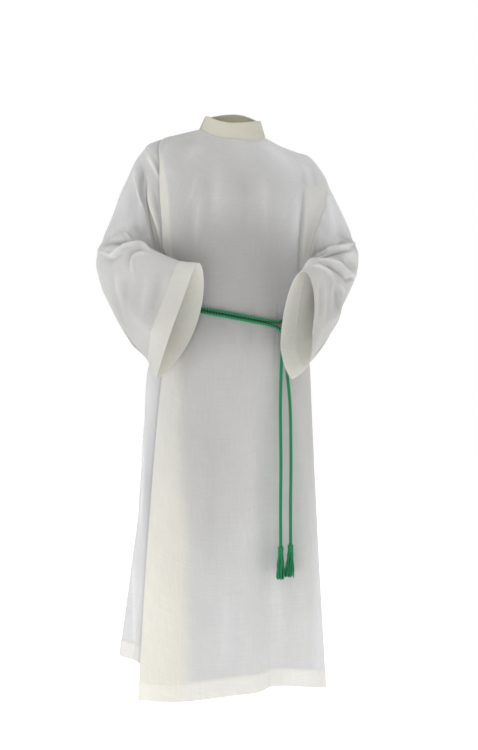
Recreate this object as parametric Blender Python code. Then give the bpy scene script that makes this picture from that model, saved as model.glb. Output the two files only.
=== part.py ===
# A wrap-front alb, worn with its green cincture: hollow cloth walls and a doubled rope belt.
# Metres, +Z up. The origin is the centre of the neck at the height of the shoulders. The front
# faces -Y, and the wearer's right arm is at -X. A "turn" is an angle round the body, in degrees:
# 0 at the front, 90 at the wearer's left side (+X), 180 at the back, -90 at the wearer's right.

import bmesh
import bpy
import numpy as np

WALL = 0.0016
SEAM_GAP = 0.0004
SLEEVE_SEAM_GAP = 0.0006
LAYER_GAP = 0.0023
LAP = WALL + LAYER_GAP
UNDER_TUCK = 0.004
COLLAR_WALL = 0.0022

# The body of the alb, as rings from the neck to the hem. Each ring has its own height at the
# front, back and both sides, a slope across the front, a half width, a depth to the front and to
# the back of its centre, and a yaw. free_edge is the turn of the outer front's free edge, and
# side_seam the turn of the seam on that side.
BODY_COLUMNS = (
    "front_z", "back_z", "right_z", "left_z", "slope", "half_width", "front_depth", "back_depth",
    "centre_x", "centre_y", "yaw", "free_edge", "side_seam",
)
BODY_RINGS = (
    # neck seam
    (-0.027, 0.018, 0.006, -0.008, -0.09, 0.0795, 0.070, 0.070, 0.003, 0.000, 6, -90, -90),
    (-0.048, 0.000, -0.003, -0.028, -0.10, 0.1185, 0.084, 0.088, 0.0015, 0.000, 6, -90, -90),
    (-0.075, -0.025, -0.013, -0.043, -0.10, 0.158, 0.097, 0.103, 0.002, 0.000, 6, -85, -90),
    (-0.105, -0.055, -0.0225, -0.058, -0.10, 0.1945, 0.108, 0.113, 0.0045, 0.000, 6, -71.8, -90),
    # tip of the shoulder, where both armholes begin
    (-0.140, -0.090, -0.040, -0.108, -0.11, 0.226, 0.116, 0.120, 0.010, 0.000, 6, -56.6, -90),
    (-0.175, -0.130, -0.088, -0.142, -0.10, 0.233, 0.122, 0.124, 0.010, 0.000, 6, -53.1, -90),
    (-0.210, -0.170, -0.139, -0.179, -0.08, 0.232, 0.126, 0.126, 0.008, 0.000, 6, -51.6, -90),
    (-0.255, -0.220, -0.205, -0.235, -0.05, 0.2227, 0.128, 0.126, 0.0035, 0.000, 6.5, -51.4, -90),
    (-0.295, -0.270, -0.270, -0.290, -0.03, 0.2055, 0.130, 0.124, 0.002, 0.000, 7, -56.4, -90),
    (-0.325, -0.310, -0.315, -0.327, -0.03, 0.1867, 0.131, 0.121, 0.002, 0.000, 7, -62, -90),
    # armpit, where both armholes end
    (-0.350, -0.345, -0.345, -0.352, -0.04, 0.181, 0.131, 0.118, 0.002, 0.000, 7, -64, -90),
    (-0.405, -0.400, -0.392, -0.420, -0.11, 0.177, 0.130, 0.115, 0.004, 0.000, 7.5, -64, -92),
    # waist, drawn in by the cincture
    (-0.4645, -0.4645, -0.433, -0.496, -0.185, 0.170, 0.127, 0.111, 0.007, 0.000, 8, -62, -95),
    (-0.530, -0.530, -0.510, -0.550, -0.10, 0.1885, 0.134, 0.130, 0.003, 0.004, 8.5, -57, -98),
    (-0.610, -0.600, -0.600, -0.610, -0.03, 0.2065, 0.141, 0.150, -0.008, 0.012, 9, -51.8, -100),
    (-0.770, -0.760, -0.760, -0.770, 0.00, 0.216, 0.150, 0.170, -0.011, 0.020, 10, -52.8, -103),
    (-0.970, -0.955, -0.955, -0.970, 0.01, 0.2315, 0.165, 0.190, -0.0155, 0.030, 11.5, -51.2, -106),
    (-1.180, -1.160, -1.160, -1.187, 0.03, 0.250, 0.182, 0.213, -0.021, 0.042, 13, -48.3, -109),
    # hem
    (-1.371, -1.322, -1.330, -1.386, 0.055, 0.266, 0.200, 0.235, -0.026, 0.055, 14, -47.7, -112),
)
NECK, SHOULDER_TIP, ARMPIT, WAIST, HEM = 0, 4, 10, 12, 18
BODY_LEVELS = (
    0, 0.5, 1, 1.5, 2, 2.5, 3, 3.5, 4, 4.5, 5, 5.5, 6, 6.5, 7, 7.5, 8, 8.5, 9, 9.5, 10, 10.7, 11.4, 12,
    12.6, 13.3, 14, 14.5, 15, 15.5, 16, 16.5, 17, 17.5, 18,
)
ROUNDNESS_NECK, ROUNDNESS_BODY = 1.0, 0.84
FRONT_OVER_COLUMNS, FRONT_UNDER_COLUMNS, BACK_COLUMNS = 21, 9, 21
# The outer front comes down to the inner one between these turns, past the middle of the chest.
LAP_ENDS = (12, 40)

# How far each armhole cuts into the front and the back, as degrees of turn. A side is -1 on the
# wearer's right and 1 on the left, where the raised arm draws the armhole further forward.
ARMHOLE_FRONT = {-1: 22, 1: 32}
ARMHOLE_BACK = 27

# Folds of the hanging skirt: turn at the hem, half width in degrees, how far the cloth stands
# out (or in) at the hem, and the ring where the fold begins.
BODY_FOLDS = (
    (-86, 24, -0.050, 15.5),
    (-115, 18, -0.020, 14.5),
    (-103, 20, -0.040, 12.5),
    (-134, 22, 0.028, 12.5),
    (-163, 15, 0.026, 13.0),
    (170, 14, -0.018, 12.6),
    (147, 15, 0.028, 12.8),
    (118, 13, 0.020, 13.5),
    (44, 16, 0.022, 13.5),
    (22, 20, -0.045, 13.5),
)
OVER_FOLDS = ((-38, 36, 0.050, 12.5),)
UNDER_FOLDS = ((-50, 42, -0.050, 12.5),)

# The sleeves, as rings from the armhole to the cuff. Each ring goes through four points: on the
# front (the crook of the elbow and the top of the forearm), the outer side, the back (the elbow,
# and then the seam that hangs lowest) and the side next to the body.
RIGHT_SLEEVE = (
    ((-0.214, -0.108, -0.218), (-0.243, -0.018, -0.080), (-0.236, 0.050, -0.210), (-0.198, -0.020, -0.340)),
    ((-0.226, -0.116, -0.238), (-0.288, -0.024, -0.191), (-0.268, 0.054, -0.240), (-0.208, -0.030, -0.354)),
    # elbow
    ((-0.238, -0.120, -0.262), (-0.319, -0.050, -0.290), (-0.312, 0.018, -0.325), (-0.212, -0.044, -0.380)),
    ((-0.232, -0.130, -0.281), (-0.300, -0.115, -0.335), (-0.310, -0.035, -0.395), (-0.213, -0.068, -0.402)),
    ((-0.212, -0.150, -0.290), (-0.262, -0.170, -0.385), (-0.280, -0.090, -0.460), (-0.202, -0.100, -0.425)),
    ((-0.169, -0.185, -0.313), (-0.214, -0.212, -0.430), (-0.241, -0.130, -0.522), (-0.172, -0.138, -0.455)),
    # cuff
    ((-0.120, -0.210, -0.334), (-0.163, -0.238, -0.455), (-0.206, -0.155, -0.5585), (-0.128, -0.152, -0.478)),
    ((-0.0725, -0.232, -0.343), (-0.123, -0.255, -0.458), (-0.176, -0.180, -0.610), (-0.086, -0.158, -0.490)),
)
LEFT_SLEEVE = (
    ((0.224, -0.060, -0.238), (0.250, 0.024, -0.141), (0.222, 0.098, -0.225), (0.202, 0.022, -0.345)),
    ((0.238, -0.074, -0.252), (0.284, 0.012, -0.212), (0.252, 0.096, -0.250), (0.214, 0.006, -0.360)),
    # elbow
    ((0.250, -0.098, -0.276), (0.307, -0.024, -0.280), (0.292, 0.045, -0.318), (0.219, -0.030, -0.384)),
    ((0.245, -0.118, -0.290), (0.3065, -0.070, -0.330), (0.284, 0.000, -0.385), (0.219, -0.060, -0.404)),
    ((0.235, -0.140, -0.306), (0.274, -0.115, -0.385), (0.262, -0.060, -0.445), (0.206, -0.098, -0.428)),
    ((0.215, -0.172, -0.320), (0.256, -0.155, -0.428), (0.231, -0.118, -0.512), (0.185, -0.135, -0.460)),
    # cuff
    ((0.188, -0.205, -0.336), (0.229, -0.190, -0.440), (0.192, -0.160, -0.565), (0.148, -0.158, -0.490)),
    ((0.163, -0.232, -0.3615), (0.194, -0.225, -0.469), (0.144, -0.200, -0.612), (0.119, -0.176, -0.505)),
)
# The lowest edge of the sleeve lies nearly flat, so it comes to a point there, from the elbow on.
LOW_EDGE_PINCH, LOW_EDGE_RINGS = 0.85, (3, 7)
SLEEVE_RINGS = (0, 0.35, 0.8, 1.3, 1.8, 2.2, 2.5, 2.75, 3, 3.25, 3.5, 3.8, 4.2, 4.7, 5.4, 6.2, 7, 8)
POINTS_ROUND_SLEEVE = 24
POINTS_ALONG_FOLD = 24
# The folds at the elbows and along the forearms: ring (0 to 8) and angle round the sleeve (0 at
# its front, 90 on its outer side) where each starts, the same where it ends, half width and rise.
RIGHT_SLEEVE_FOLDS = (
    (2.75, 105, 2.9, 8, 0.014, -0.012),
    (3.3, 100, 3.35, 0, 0.016, 0.007),
    (2.2, 80, 2.4, 25, 0.013, 0.006),
    (0.4, 55, 2.3, -12, 0.013, -0.010),
    (5.9, 160, 3.9, 70, 0.018, -0.006),
)
LEFT_SLEEVE_FOLDS = (
    (2.7, 105, 3.1, 15, 0.014, -0.011),
    (3.2, 100, 4.6, 20, 0.015, 0.007),
    (3.9, 100, 4.9, 35, 0.013, -0.008),
    (0.5, 50, 2.2, -8, 0.013, -0.008),
    (6.0, 165, 4.2, 75, 0.018, -0.005),
)

# The collar's top edge, as an oval round the neck, with its height at four places.
COLLAR_TOP = {"half_width": 0.0685, "front_depth": 0.060, "back_depth": 0.062, "centre_x": 0.005}
COLLAR_TOP_Z = {"front": 0.018, "back": 0.060, "right": 0.0435, "left": 0.0305}
COLLAR_START, COLLAR_OVERLAP = -104, 20
COLLAR_COLUMNS, COLLAR_ROWS = 44, 4
# The collar stands proud of the neck seam and a little above it, more where the outer front
# lies over the inner one. Its outer end steps over its inner end.
COLLAR_PROUD, COLLAR_LIFT = 0.0022, 0.0006
COLLAR_ON_LAP = (-118, -93)
COLLAR_END_GAP = 0.0005

CORD_RADIUS = 0.004
CORD_SIDES = 2
KNOT_TURN = 36.5
STRAND_OFFSET = 0.0043
CORD_CLEARANCE = 0.0026
# Places along the rope at the knot, in its own directions: along the waist, out from it and up.
BIGHT = (
    (-0.030, 0.000, 0.0068), (-0.013, 0.0012, 0.0135), (0.000, 0.0060, 0.0155), (0.009, 0.0090, 0.0105),
    (0.0125, 0.0095, 0.0000), (0.009, 0.0088, -0.0110), (0.000, 0.0055, -0.0162), (-0.013, 0.0012, -0.0140),
    (-0.030, 0.000, -0.0068),
)
# Where each hanging end leaves the knot, in the same directions, and then its places in the air.
ENDS = {
    "a": {
        "knot": (
            (0.0027, 0.0000, 0.0043), (-0.0015, 0.0000, 0.0043), (-0.0090, 0.0030, 0.0045),
            (-0.0135, 0.0090, 0.0015), (-0.0138, 0.0132, -0.0060), (-0.0136, 0.0138, -0.0150),
            (-0.0125, 0.0110, -0.0290), (-0.0110, 0.0085, -0.0500),
        ),
        "hang": (
            (0.1210, -0.1130, -0.590), (0.1192, -0.1135, -0.680), (0.1203, -0.1135, -0.810),
            (0.1195, -0.1135, -0.920),
        ),
        "end": (0.1197, -0.1135, -1.0165),
    },
    "b": {
        "knot": (
            (0.0027, 0.0000, -0.0043), (-0.0015, 0.0000, -0.0043), (-0.0040, 0.0045, -0.0048),
            (-0.0042, 0.0105, -0.0065), (-0.0040, 0.0150, -0.0115), (-0.0036, 0.0160, -0.0190),
            (-0.0025, 0.0130, -0.0310), (-0.0010, 0.0095, -0.0500),
        ),
        "hang": (
            (0.1350, -0.1055, -0.590), (0.1428, -0.1050, -0.680), (0.1448, -0.1050, -0.810),
            (0.1438, -0.1050, -0.920),
        ),
        "end": (0.1440, -0.1050, -1.0127),
    },
}
KNOT_STEP, HANG_STEP = 0.007, 0.022
TASSEL = {
    "head": 0.017, "skirt": 0.062, "head_radius": 0.0068, "spread": 1.75, "cells": 5,
    "strand_gap": 0.00064, "wander": 0.0005, "rows": 3,
}
# The head above the root of its strands: radius as a share of the head's own, and height.
TASSEL_HEAD = ((0.80, 0.003), (0.80, 0.006), (1.0, 0.009), (0.95, 0.0135), (0.62, 0.0165))

COLLECTION = bpy.data.collections.new("alb_robe")


def clear_scene():
    for old in list(bpy.data.objects):
        bpy.data.objects.remove(old)
    bpy.context.scene.collection.children.link(COLLECTION)


def ramp(start, end, at):
    part = np.clip((at - start) / (end - start), 0.0, 1.0)
    return part * part * (3.0 - 2.0 * part)


def blended(a, b, c, d, t):
    """The curve from b to c, at t from 0 to 1, that also heeds its neighbours a and d."""
    return 0.5 * (2 * b + (c - a) * t + (2 * a - 5 * b + 4 * c - d) * t**2 + (3 * b - a - 3 * c + d) * t**3)


def spline(rows, at):
    """The smooth curve through the rows, read at each place in at."""
    rows = np.asarray(rows, float)
    at = np.asarray(at, float)
    padded = np.concatenate([2 * rows[:1] - rows[1:2], rows, 2 * rows[-1:] - rows[-2:-1]])
    first = np.clip(np.floor(at).astype(int), 0, len(rows) - 2)
    t = (at - first).reshape(at.shape + (1,) * (rows.ndim - 1))
    return blended(*(padded[first + step] for step in range(4)), t)


def body_column(name, level):
    return spline(np.asarray(BODY_RINGS, float)[:, BODY_COLUMNS.index(name)], level)


def fold_rise(folds, turn, level):
    rise = np.zeros(np.broadcast(turn, level).shape)
    for centre, half_width, height, begins in folds:
        away = np.abs((turn - centre + 180.0) % 360.0 - 180.0) / half_width
        rise += height * ramp(begins, HEM, level) * np.cos(np.minimum(away, 1.0) * np.pi / 2) ** 2
    return rise


def body_point(turn, level, folds):
    """The cloth's outer face at a turn and a ring, before one panel is laid over another."""
    column = {name: body_column(name, level) for name in BODY_COLUMNS}
    roundness = ROUNDNESS_NECK + (ROUNDNESS_BODY - ROUNDNESS_NECK) * ramp(1, 6, level)
    sine, cosine = np.sin(np.radians(turn)), np.cos(np.radians(turn))
    across = column["half_width"] * np.sign(sine) * np.abs(sine) ** roundness
    depth = np.where(cosine > 0, column["front_depth"], column["back_depth"])
    along = -depth * np.sign(cosine) * np.abs(cosine) ** roundness
    out = 1.0 + fold_rise(folds, turn, level) / np.hypot(across, along)
    side = np.abs(sine) ** 4
    side_z = np.where(sine < 0, column["right_z"], column["left_z"])
    middle_z = np.where(cosine > 0, column["front_z"], column["back_z"]) + column["slope"] * across
    yaw = np.radians(column["yaw"])
    across, along = across * out, along * out
    return np.stack(
        [
            column["centre_x"] + across * np.cos(yaw) - along * np.sin(yaw),
            column["centre_y"] + across * np.sin(yaw) + along * np.cos(yaw),
            side * side_z + (1.0 - side) * middle_z,
        ],
        axis=-1,
    )


def unit(vectors):
    return vectors / np.linalg.norm(vectors, axis=-1, keepdims=True)


def body_normal(turn, level, folds):
    step_turn, step_level = 0.5, 0.05
    along = body_point(turn + step_turn, level, folds) - body_point(turn - step_turn, level, folds)
    down = body_point(turn, level + step_level, folds) - body_point(turn, level - step_level, folds)
    return unit(np.cross(down, along))


def armhole_cut(level):
    """How deep the armhole is at a ring: 0 at its top and bottom, and 1 in its middle."""
    part = np.clip((level - SHOULDER_TIP) / (ARMPIT - SHOULDER_TIP), 0.0, 1.0)
    return np.sin(np.pi * part) ** 0.7


def lap_at(turn):
    """How far the outer front lies outside the inner one: it comes down to it at the far side."""
    return LAP * (1.0 - ramp(*LAP_ENDS, turn))


def triangles_of_grid(rows, columns, closed, first, flipped):
    faces = []
    for row in range(rows - 1):
        for column in range(columns if closed else columns - 1):
            beside = (column + 1) % columns
            a, b = first + row * columns + column, first + row * columns + beside
            c, d = b + columns, a + columns
            faces += [(a, c, b), (a, d, c)] if flipped else [(a, b, c), (a, c, d)]
    return faces


def wall(name, outer, inner, closed, colour, roughness=0.9):
    """A cloth wall between two grids of points, with its rims. closed joins the last column to the first."""
    rows, columns = outer.shape[:2]
    second = rows * columns
    faces = triangles_of_grid(rows, columns, closed, 0, True)
    faces += triangles_of_grid(rows, columns, closed, second, False)
    last_row = (rows - 1) * columns
    rims = [list(range(columns)), list(range(last_row, last_row + columns))]
    rims = [rim + rim[:1] if closed else rim for rim in rims]
    if not closed:
        rims += [[row * columns for row in range(rows)], [row * columns + columns - 1 for row in range(rows)]]
    for number, rim in enumerate(rims):
        for a, b in zip(rim, rim[1:]):
            quad = (a, b, b + second, a + second)
            quad = quad[::-1] if number in (1, 2) else quad
            faces += [(quad[0], quad[1], quad[2]), (quad[0], quad[2], quad[3])]
    mesh = bpy.data.meshes.new(name)
    points = np.concatenate([outer.reshape(-1, 3), inner.reshape(-1, 3)])
    mesh.from_pydata([tuple(point) for point in points], [], faces)
    return placed(name, mesh, colour, roughness)


def placed(name, data, colour, roughness):
    material = bpy.data.materials.new(name + "_material")
    material.use_nodes = True
    shader = material.node_tree.nodes["Principled BSDF"]
    shader.inputs["Base Color"].default_value = (*colour, 1.0)
    shader.inputs["Roughness"].default_value = roughness
    shader.inputs["Metallic"].default_value = 0.0
    data.materials.append(material)
    if isinstance(data, bpy.types.Mesh):
        data.shade_smooth()
        data.set_sharp_from_angle(angle=np.radians(50))
    item = bpy.data.objects.new(name, data)
    COLLECTION.objects.link(item)
    return item


WHITE_CLOTH = (0.78, 0.78, 0.76)
CREAM_CLOTH = (0.80, 0.78, 0.68)
GREEN_CORD = (0.02, 0.28, 0.12)


def panel_grid(left, right, columns, folds, lap, seams):
    """Outer and inner points of a body panel. left and right give the turn of each edge at a ring."""
    levels = np.array(BODY_LEVELS, float)[:, None]
    share = np.linspace(0.0, 1.0, columns)[None, :]
    turns = left(levels) * (1 - share) + right(levels) * share
    levels = levels + 0 * turns
    normals = body_normal(turns, levels, folds)
    outer = body_point(turns, levels, folds)
    for edge, inward, sewn in ((0, 1, seams[0]), (-1, -1, seams[1])):
        if sewn:
            towards = body_point(turns[:, edge] + inward, levels[:, edge], folds) - outer[:, edge]
            outer[:, edge] += unit(towards) * SEAM_GAP / 2
    outer = outer + normals * lap(turns)[..., None]
    return outer, outer - normals * WALL


def build_body():
    def right_armhole(level):
        return 90 - ARMHOLE_FRONT[1] * armhole_cut(level)

    outer, inner = panel_grid(
        lambda level: body_column("free_edge", level),
        right_armhole,
        FRONT_OVER_COLUMNS,
        BODY_FOLDS + OVER_FOLDS,
        lap_at,
        (False, True),
    )
    wall("front_over", outer, inner, False, WHITE_CLOTH)
    outer, inner = panel_grid(
        lambda level: body_column("side_seam", level) + ARMHOLE_FRONT[-1] * armhole_cut(level),
        lambda level: 0 * level,
        FRONT_UNDER_COLUMNS,
        BODY_FOLDS + UNDER_FOLDS,
        lambda turn: -UNDER_TUCK * ramp(-30, 0, turn),
        (True, False),
    )
    wall("front_under", outer, inner, False, WHITE_CLOTH)
    outer, inner = panel_grid(
        lambda level: 90 + ARMHOLE_BACK * armhole_cut(level),
        lambda level: 360 + body_column("side_seam", level) - ARMHOLE_BACK * armhole_cut(level),
        BACK_COLUMNS,
        BODY_FOLDS,
        lambda turn: 0 * turn,
        (True, True),
    )
    wall("back", outer, inner, False, WHITE_CLOTH)


def armhole_edge(side, around):
    """Points and normals of the body at the armhole's edge. around is -90 at the armpit, 0 at the
    front, 90 at the tip of the shoulder and 180 at the back."""
    around = (around + 90) % 360 - 90
    in_front = around <= 90
    climb = np.where(in_front, (around + 90) / 180, (270 - around) / 180)
    level = ARMPIT + (SHOULDER_TIP - ARMPIT) * climb
    cut = armhole_cut(level)
    turn = side * np.where(in_front, 90 - ARMHOLE_FRONT[side] * cut, 90 + ARMHOLE_BACK * cut)
    return body_point(turn, level, ()), body_normal(turn, level, ())


def sleeve_point(side, rings, position, around):
    """The sleeve's outer face: position runs from 0 at the armhole to 8 at the cuff. side is -1 on
    the wearer's right and 1 on the left."""
    position, around = np.broadcast_arrays(np.asarray(position, float), np.asarray(around, float))
    edge, normal = armhole_edge(side, around)
    tangent = armhole_edge(side, around + 15)[0] - armhole_edge(side, around - 15)[0]
    knots = [edge + unit(np.cross(tangent, normal)) * side * SLEEVE_SEAM_GAP]
    angle = np.radians(around)[..., None]
    sine, cosine = np.sin(angle), np.cos(angle)
    for number, ring in enumerate(rings, 1):
        front, outer, back, inner = (np.array(point) for point in ring)
        pinch = LOW_EDGE_PINCH * ramp(*LOW_EDGE_RINGS, number) * ramp(0.0, -0.5, cosine)
        knots.append(
            (front + outer + back + inner) / 4
            + (front - back) / 2 * cosine
            + (outer - inner) / 2 * sine * (1 - pinch * (1 - np.abs(sine)))
            + (front + back - outer - inner) / 4 * np.cos(2 * angle)
        )
    knots = [2 * knots[0] - knots[1], *knots, 2 * knots[-1] - knots[-2]]
    stack = np.stack(knots)
    first = np.clip(np.floor(position).astype(int), 0, len(rings) - 1)
    a, b, c, d = (np.take_along_axis(stack, (first + step)[None, ..., None], axis=0)[0] for step in range(4))
    return blended(a, b, c, d, (position - first)[..., None])


def sleeve_normal(side, rings, position, around):
    def at(step, turn):
        return sleeve_point(side, rings, position + step, around + turn)

    step, turn = 0.1, 2.0
    along = at(step, 0) - at(-step, 0)
    ahead = at(0, turn) - at(0, -turn)
    return unit(np.cross(along, ahead)) * side


def fold_lift(points, normals, folds, side, rings):
    """How far each point of a sleeve stands out, from folds that run between two places on it."""
    lift = np.zeros(points.shape[:-1])
    share = np.linspace(0.0, 1.0, POINTS_ALONG_FOLD)
    for start_at, start_round, end_at, end_round, half_width, rise in folds:
        position = start_at + (end_at - start_at) * share
        around = start_round + (end_round - start_round) * share
        path = sleeve_point(side, rings, position, around)
        path_normal = sleeve_normal(side, rings, position, around)
        away = np.linalg.norm(points[..., None, :] - path, axis=-1)
        nearest = away.argmin(axis=-1)
        same_side = (normals * path_normal[nearest]).sum(axis=-1) > 0.2
        taper = np.sin(np.pi * np.clip(share[nearest], 0.04, 0.96)) ** 0.6
        lift += rise * taper * same_side * np.exp(-((away.min(axis=-1) / half_width) ** 2))
    return lift


def sleeve_grid(side, rings, folds, positions, around):
    """Outer and inner points of a sleeve's wall."""
    positions = np.asarray(positions, float)[:, None]
    around = np.asarray(around, float)[None, :]
    outer = sleeve_point(side, rings, positions, around)
    normals = sleeve_normal(side, rings, positions, around)
    lift = fold_lift(outer, normals, folds, side, rings) * ramp(0, 0.5, positions)
    outer = outer + normals * lift[..., None]
    return outer, outer - normals * WALL


def build_sleeves():
    around = -90 + 360 / POINTS_ROUND_SLEEVE * np.arange(POINTS_ROUND_SLEEVE)
    for name, side, rings, folds in (
        ("sleeve_wearer_right", -1, RIGHT_SLEEVE, RIGHT_SLEEVE_FOLDS),
        ("sleeve_wearer_left", 1, LEFT_SLEEVE, LEFT_SLEEVE_FOLDS),
    ):
        outer, inner = sleeve_grid(side, rings, folds, SLEEVE_RINGS, around)
        if side < 0:
            outer, inner = outer[:, ::-1], inner[:, ::-1]
        wall(name, outer, inner, True, WHITE_CLOTH)


def build_collar():
    turns = np.linspace(COLLAR_START, COLLAR_START + 360 + COLLAR_OVERLAP, COLLAR_COLUMNS)[None, :]
    share = np.linspace(0.0, 1.0, COLLAR_ROWS)[:, None]
    neck = body_point(turns, np.zeros_like(turns), ())
    normals = body_normal(turns, np.zeros_like(turns), ())
    outward = unit(normals * np.array([1.0, 1.0, 0.0]))
    wrapped = (turns + 180) % 360 - 180
    lift = lap_at(wrapped) * ramp(*COLLAR_ON_LAP, wrapped) * normals[..., 2] + COLLAR_LIFT
    bottom = neck + outward * COLLAR_PROUD + np.array([0.0, 0.0, 1.0]) * lift[..., None]
    sine, cosine = np.sin(np.radians(turns)), np.cos(np.radians(turns))
    side = sine**2
    depth = np.where(cosine > 0, COLLAR_TOP["front_depth"], COLLAR_TOP["back_depth"])
    top_z = side * np.where(sine < 0, COLLAR_TOP_Z["right"], COLLAR_TOP_Z["left"])
    top_z = top_z + (1 - side) * np.where(cosine > 0, COLLAR_TOP_Z["front"], COLLAR_TOP_Z["back"])
    top_x = COLLAR_TOP["centre_x"] + COLLAR_TOP["half_width"] * sine
    top = np.stack([top_x, -depth * cosine, top_z], axis=-1)
    step_out = ramp(COLLAR_COLUMNS - 9, COLLAR_COLUMNS - 3, np.arange(COLLAR_COLUMNS))[None, :, None]
    over_end = step_out * (COLLAR_WALL + COLLAR_END_GAP)
    share = (1 - share)[..., None]
    outer = bottom * (1 - share) + top * share + outward * over_end
    wall("collar", outer, outer - outward * COLLAR_WALL, False, CREAM_CLOTH)


def belt_point(turn, out, up):
    """A point of the rope round the waist: out from the cloth, and up from the middle of its two strands."""
    turn = np.asarray(turn, float)
    level = WAIST + 0 * turn
    wrapped = (turn + 180) % 360 - 180
    lap = lap_at(wrapped) * ramp(-90, -60, wrapped)
    normal = body_normal(turn, level, ())
    tangent = unit(body_point(turn + 1, level, ()) - body_point(turn - 1, level, ()))
    rise = np.cross(normal, tangent)
    away = (lap + CORD_RADIUS + CORD_CLEARANCE + out)[..., None]
    return body_point(turn, level, ()) + normal * away + rise * np.asarray(up)[..., None]


def knot_points(rows):
    """Places at the knot, given along the waist, out from it and up, as points."""
    rows = np.array(rows, float)
    origin = belt_point(KNOT_TURN, np.zeros(1), np.zeros(1))[0]
    ahead = belt_point(KNOT_TURN + 1, np.zeros(1), np.zeros(1))[0]
    along = unit(ahead - origin)
    out = body_normal(np.array(KNOT_TURN), np.array(float(WAIST)), ())
    axes = np.stack([along, out, np.cross(out, along)])
    return origin + rows @ axes


def even_points(route, step):
    """Points a step apart along the smooth curve through the route."""
    fine = spline(route, np.linspace(0, len(route) - 1, 40 * len(route)))
    run = np.concatenate([[0.0], np.cumsum(np.linalg.norm(np.diff(fine, axis=0), axis=1))])
    count = max(2, round(run[-1] / step) + 1)
    places = np.linspace(0, run[-1], count)
    return np.stack([np.interp(places, run, fine[:, axis]) for axis in range(3)], axis=1)


def rope(name, points):
    curve = bpy.data.curves.new(name, "CURVE")
    curve.dimensions = "3D"
    curve.bevel_depth = CORD_RADIUS
    curve.bevel_resolution = CORD_SIDES
    curve.use_fill_caps = True
    line = curve.splines.new("POLY")
    line.points.add(len(points) - 1)
    for point, place in zip(line.points, points):
        point.co = (*place, 1.0)
    placed(name, curve, GREEN_CORD, 0.8)


def build_cincture():
    turns = np.arange(KNOT_TURN + 11, KNOT_TURN + 340, 11.7)
    up = np.full_like(turns, STRAND_OFFSET)
    upper = belt_point(turns, 0 * turns, up)
    lower = belt_point(turns, 0 * turns, -up)
    start = ((0.0035, 0.0, STRAND_OFFSET), (0.0160, 0.0, STRAND_OFFSET))
    start_upper = knot_points(start)
    start_lower = knot_points([(along, out, -rise) for along, out, rise in start])
    bight = spline(knot_points(BIGHT), np.linspace(0, len(BIGHT) - 1, 2 * len(BIGHT) - 1))
    rope("cincture_waist", np.concatenate([start_upper, upper, bight, lower[::-1], start_lower[::-1]]))
    for letter, end in ENDS.items():
        in_knot = knot_points(end["knot"])
        route = np.concatenate([in_knot, end["hang"], [end["end"]]])
        close = np.concatenate([route[:1], even_points(route[1 : len(in_knot)], KNOT_STEP)])
        free = even_points(route[len(in_knot) - 2 :], HANG_STEP)
        beyond = np.linalg.norm(free - route[len(in_knot) - 2], axis=1)
        past_knot = beyond > np.linalg.norm(close[-1] - route[len(in_knot) - 2]) + KNOT_STEP
        rope("cincture_end_" + letter, np.concatenate([close, free[past_knot]]))
        build_tassel("tassel_" + letter, np.array(end["end"]), letter)


def square_to_disc(x, y):
    """Moves a point of the square of half side 1 to the unit disc."""
    return x * np.sqrt(1 - y * y / 2), y * np.sqrt(1 - x * x / 2)


def build_tassel(name, top, letter):
    """A bound head with a skirt of strands, which are one body with it at their roots."""
    shape = bmesh.new()
    bmesh.ops.create_grid(shape, x_segments=TASSEL["cells"], y_segments=TASSEL["cells"], size=1.0)
    root_z = -TASSEL["head"]
    for vert in shape.verts:
        x, y = square_to_disc(vert.co.x, vert.co.y)
        vert.co = (x * TASSEL["head_radius"], y * TASSEL["head_radius"], root_z)
    strands = list(shape.faces)
    rim = [edge for edge in shape.edges if edge.is_boundary]
    for share, height in TASSEL_HEAD:
        made = bmesh.ops.extrude_edge_only(shape, edges=rim)["geom"]
        rim = [item for item in made if isinstance(item, bmesh.types.BMEdge) and item.is_boundary]
        for vert in {vert for edge in rim for vert in edge.verts}:
            radius = TASSEL["head_radius"] * share
            flat = np.array(vert.co[:2])
            flat = flat / np.linalg.norm(flat) * radius
            vert.co = (flat[0], flat[1], root_z + height)
    bmesh.ops.contextual_create(shape, geom=rim)
    bmesh.ops.inset_individual(shape, faces=strands, thickness=TASSEL["strand_gap"] / 2, use_even_offset=True)
    wander = np.random.default_rng(ord(letter))
    drift = {face: wander.uniform(-TASSEL["wander"], TASSEL["wander"], 2) for face in strands}
    steps = TASSEL["rows"]
    for step in range(1, steps + 1):
        strands_now = bmesh.ops.extrude_discrete_faces(shape, faces=strands)["faces"]
        drift = dict(zip(strands_now, drift.values()))
        spread = 1 + (TASSEL["spread"] - 1) * step / steps
        before = 1 + (TASSEL["spread"] - 1) * (step - 1) / steps
        for face in strands_now:
            centre = face.calc_center_median()
            for vert in face.verts:
                moved = centre * (spread / before) + (vert.co - centre)
                offset = drift[face] / steps
                vert.co = (moved.x + offset[0], moved.y + offset[1], root_z - TASSEL["skirt"] * step / steps)
        strands = strands_now
    bmesh.ops.recalc_face_normals(shape, faces=shape.faces)
    mesh = bpy.data.meshes.new(name)
    shape.to_mesh(mesh)
    shape.free()
    tassel = placed(name, mesh, GREEN_CORD, 0.85)
    tassel.location = top - np.array([0.0, 0.0, SEAM_GAP])


def main():
    clear_scene()
    build_body()
    build_sleeves()
    build_collar()
    build_cincture()


main()
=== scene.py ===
import math

import bpy
import numpy as np
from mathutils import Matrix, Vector, noise


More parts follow.
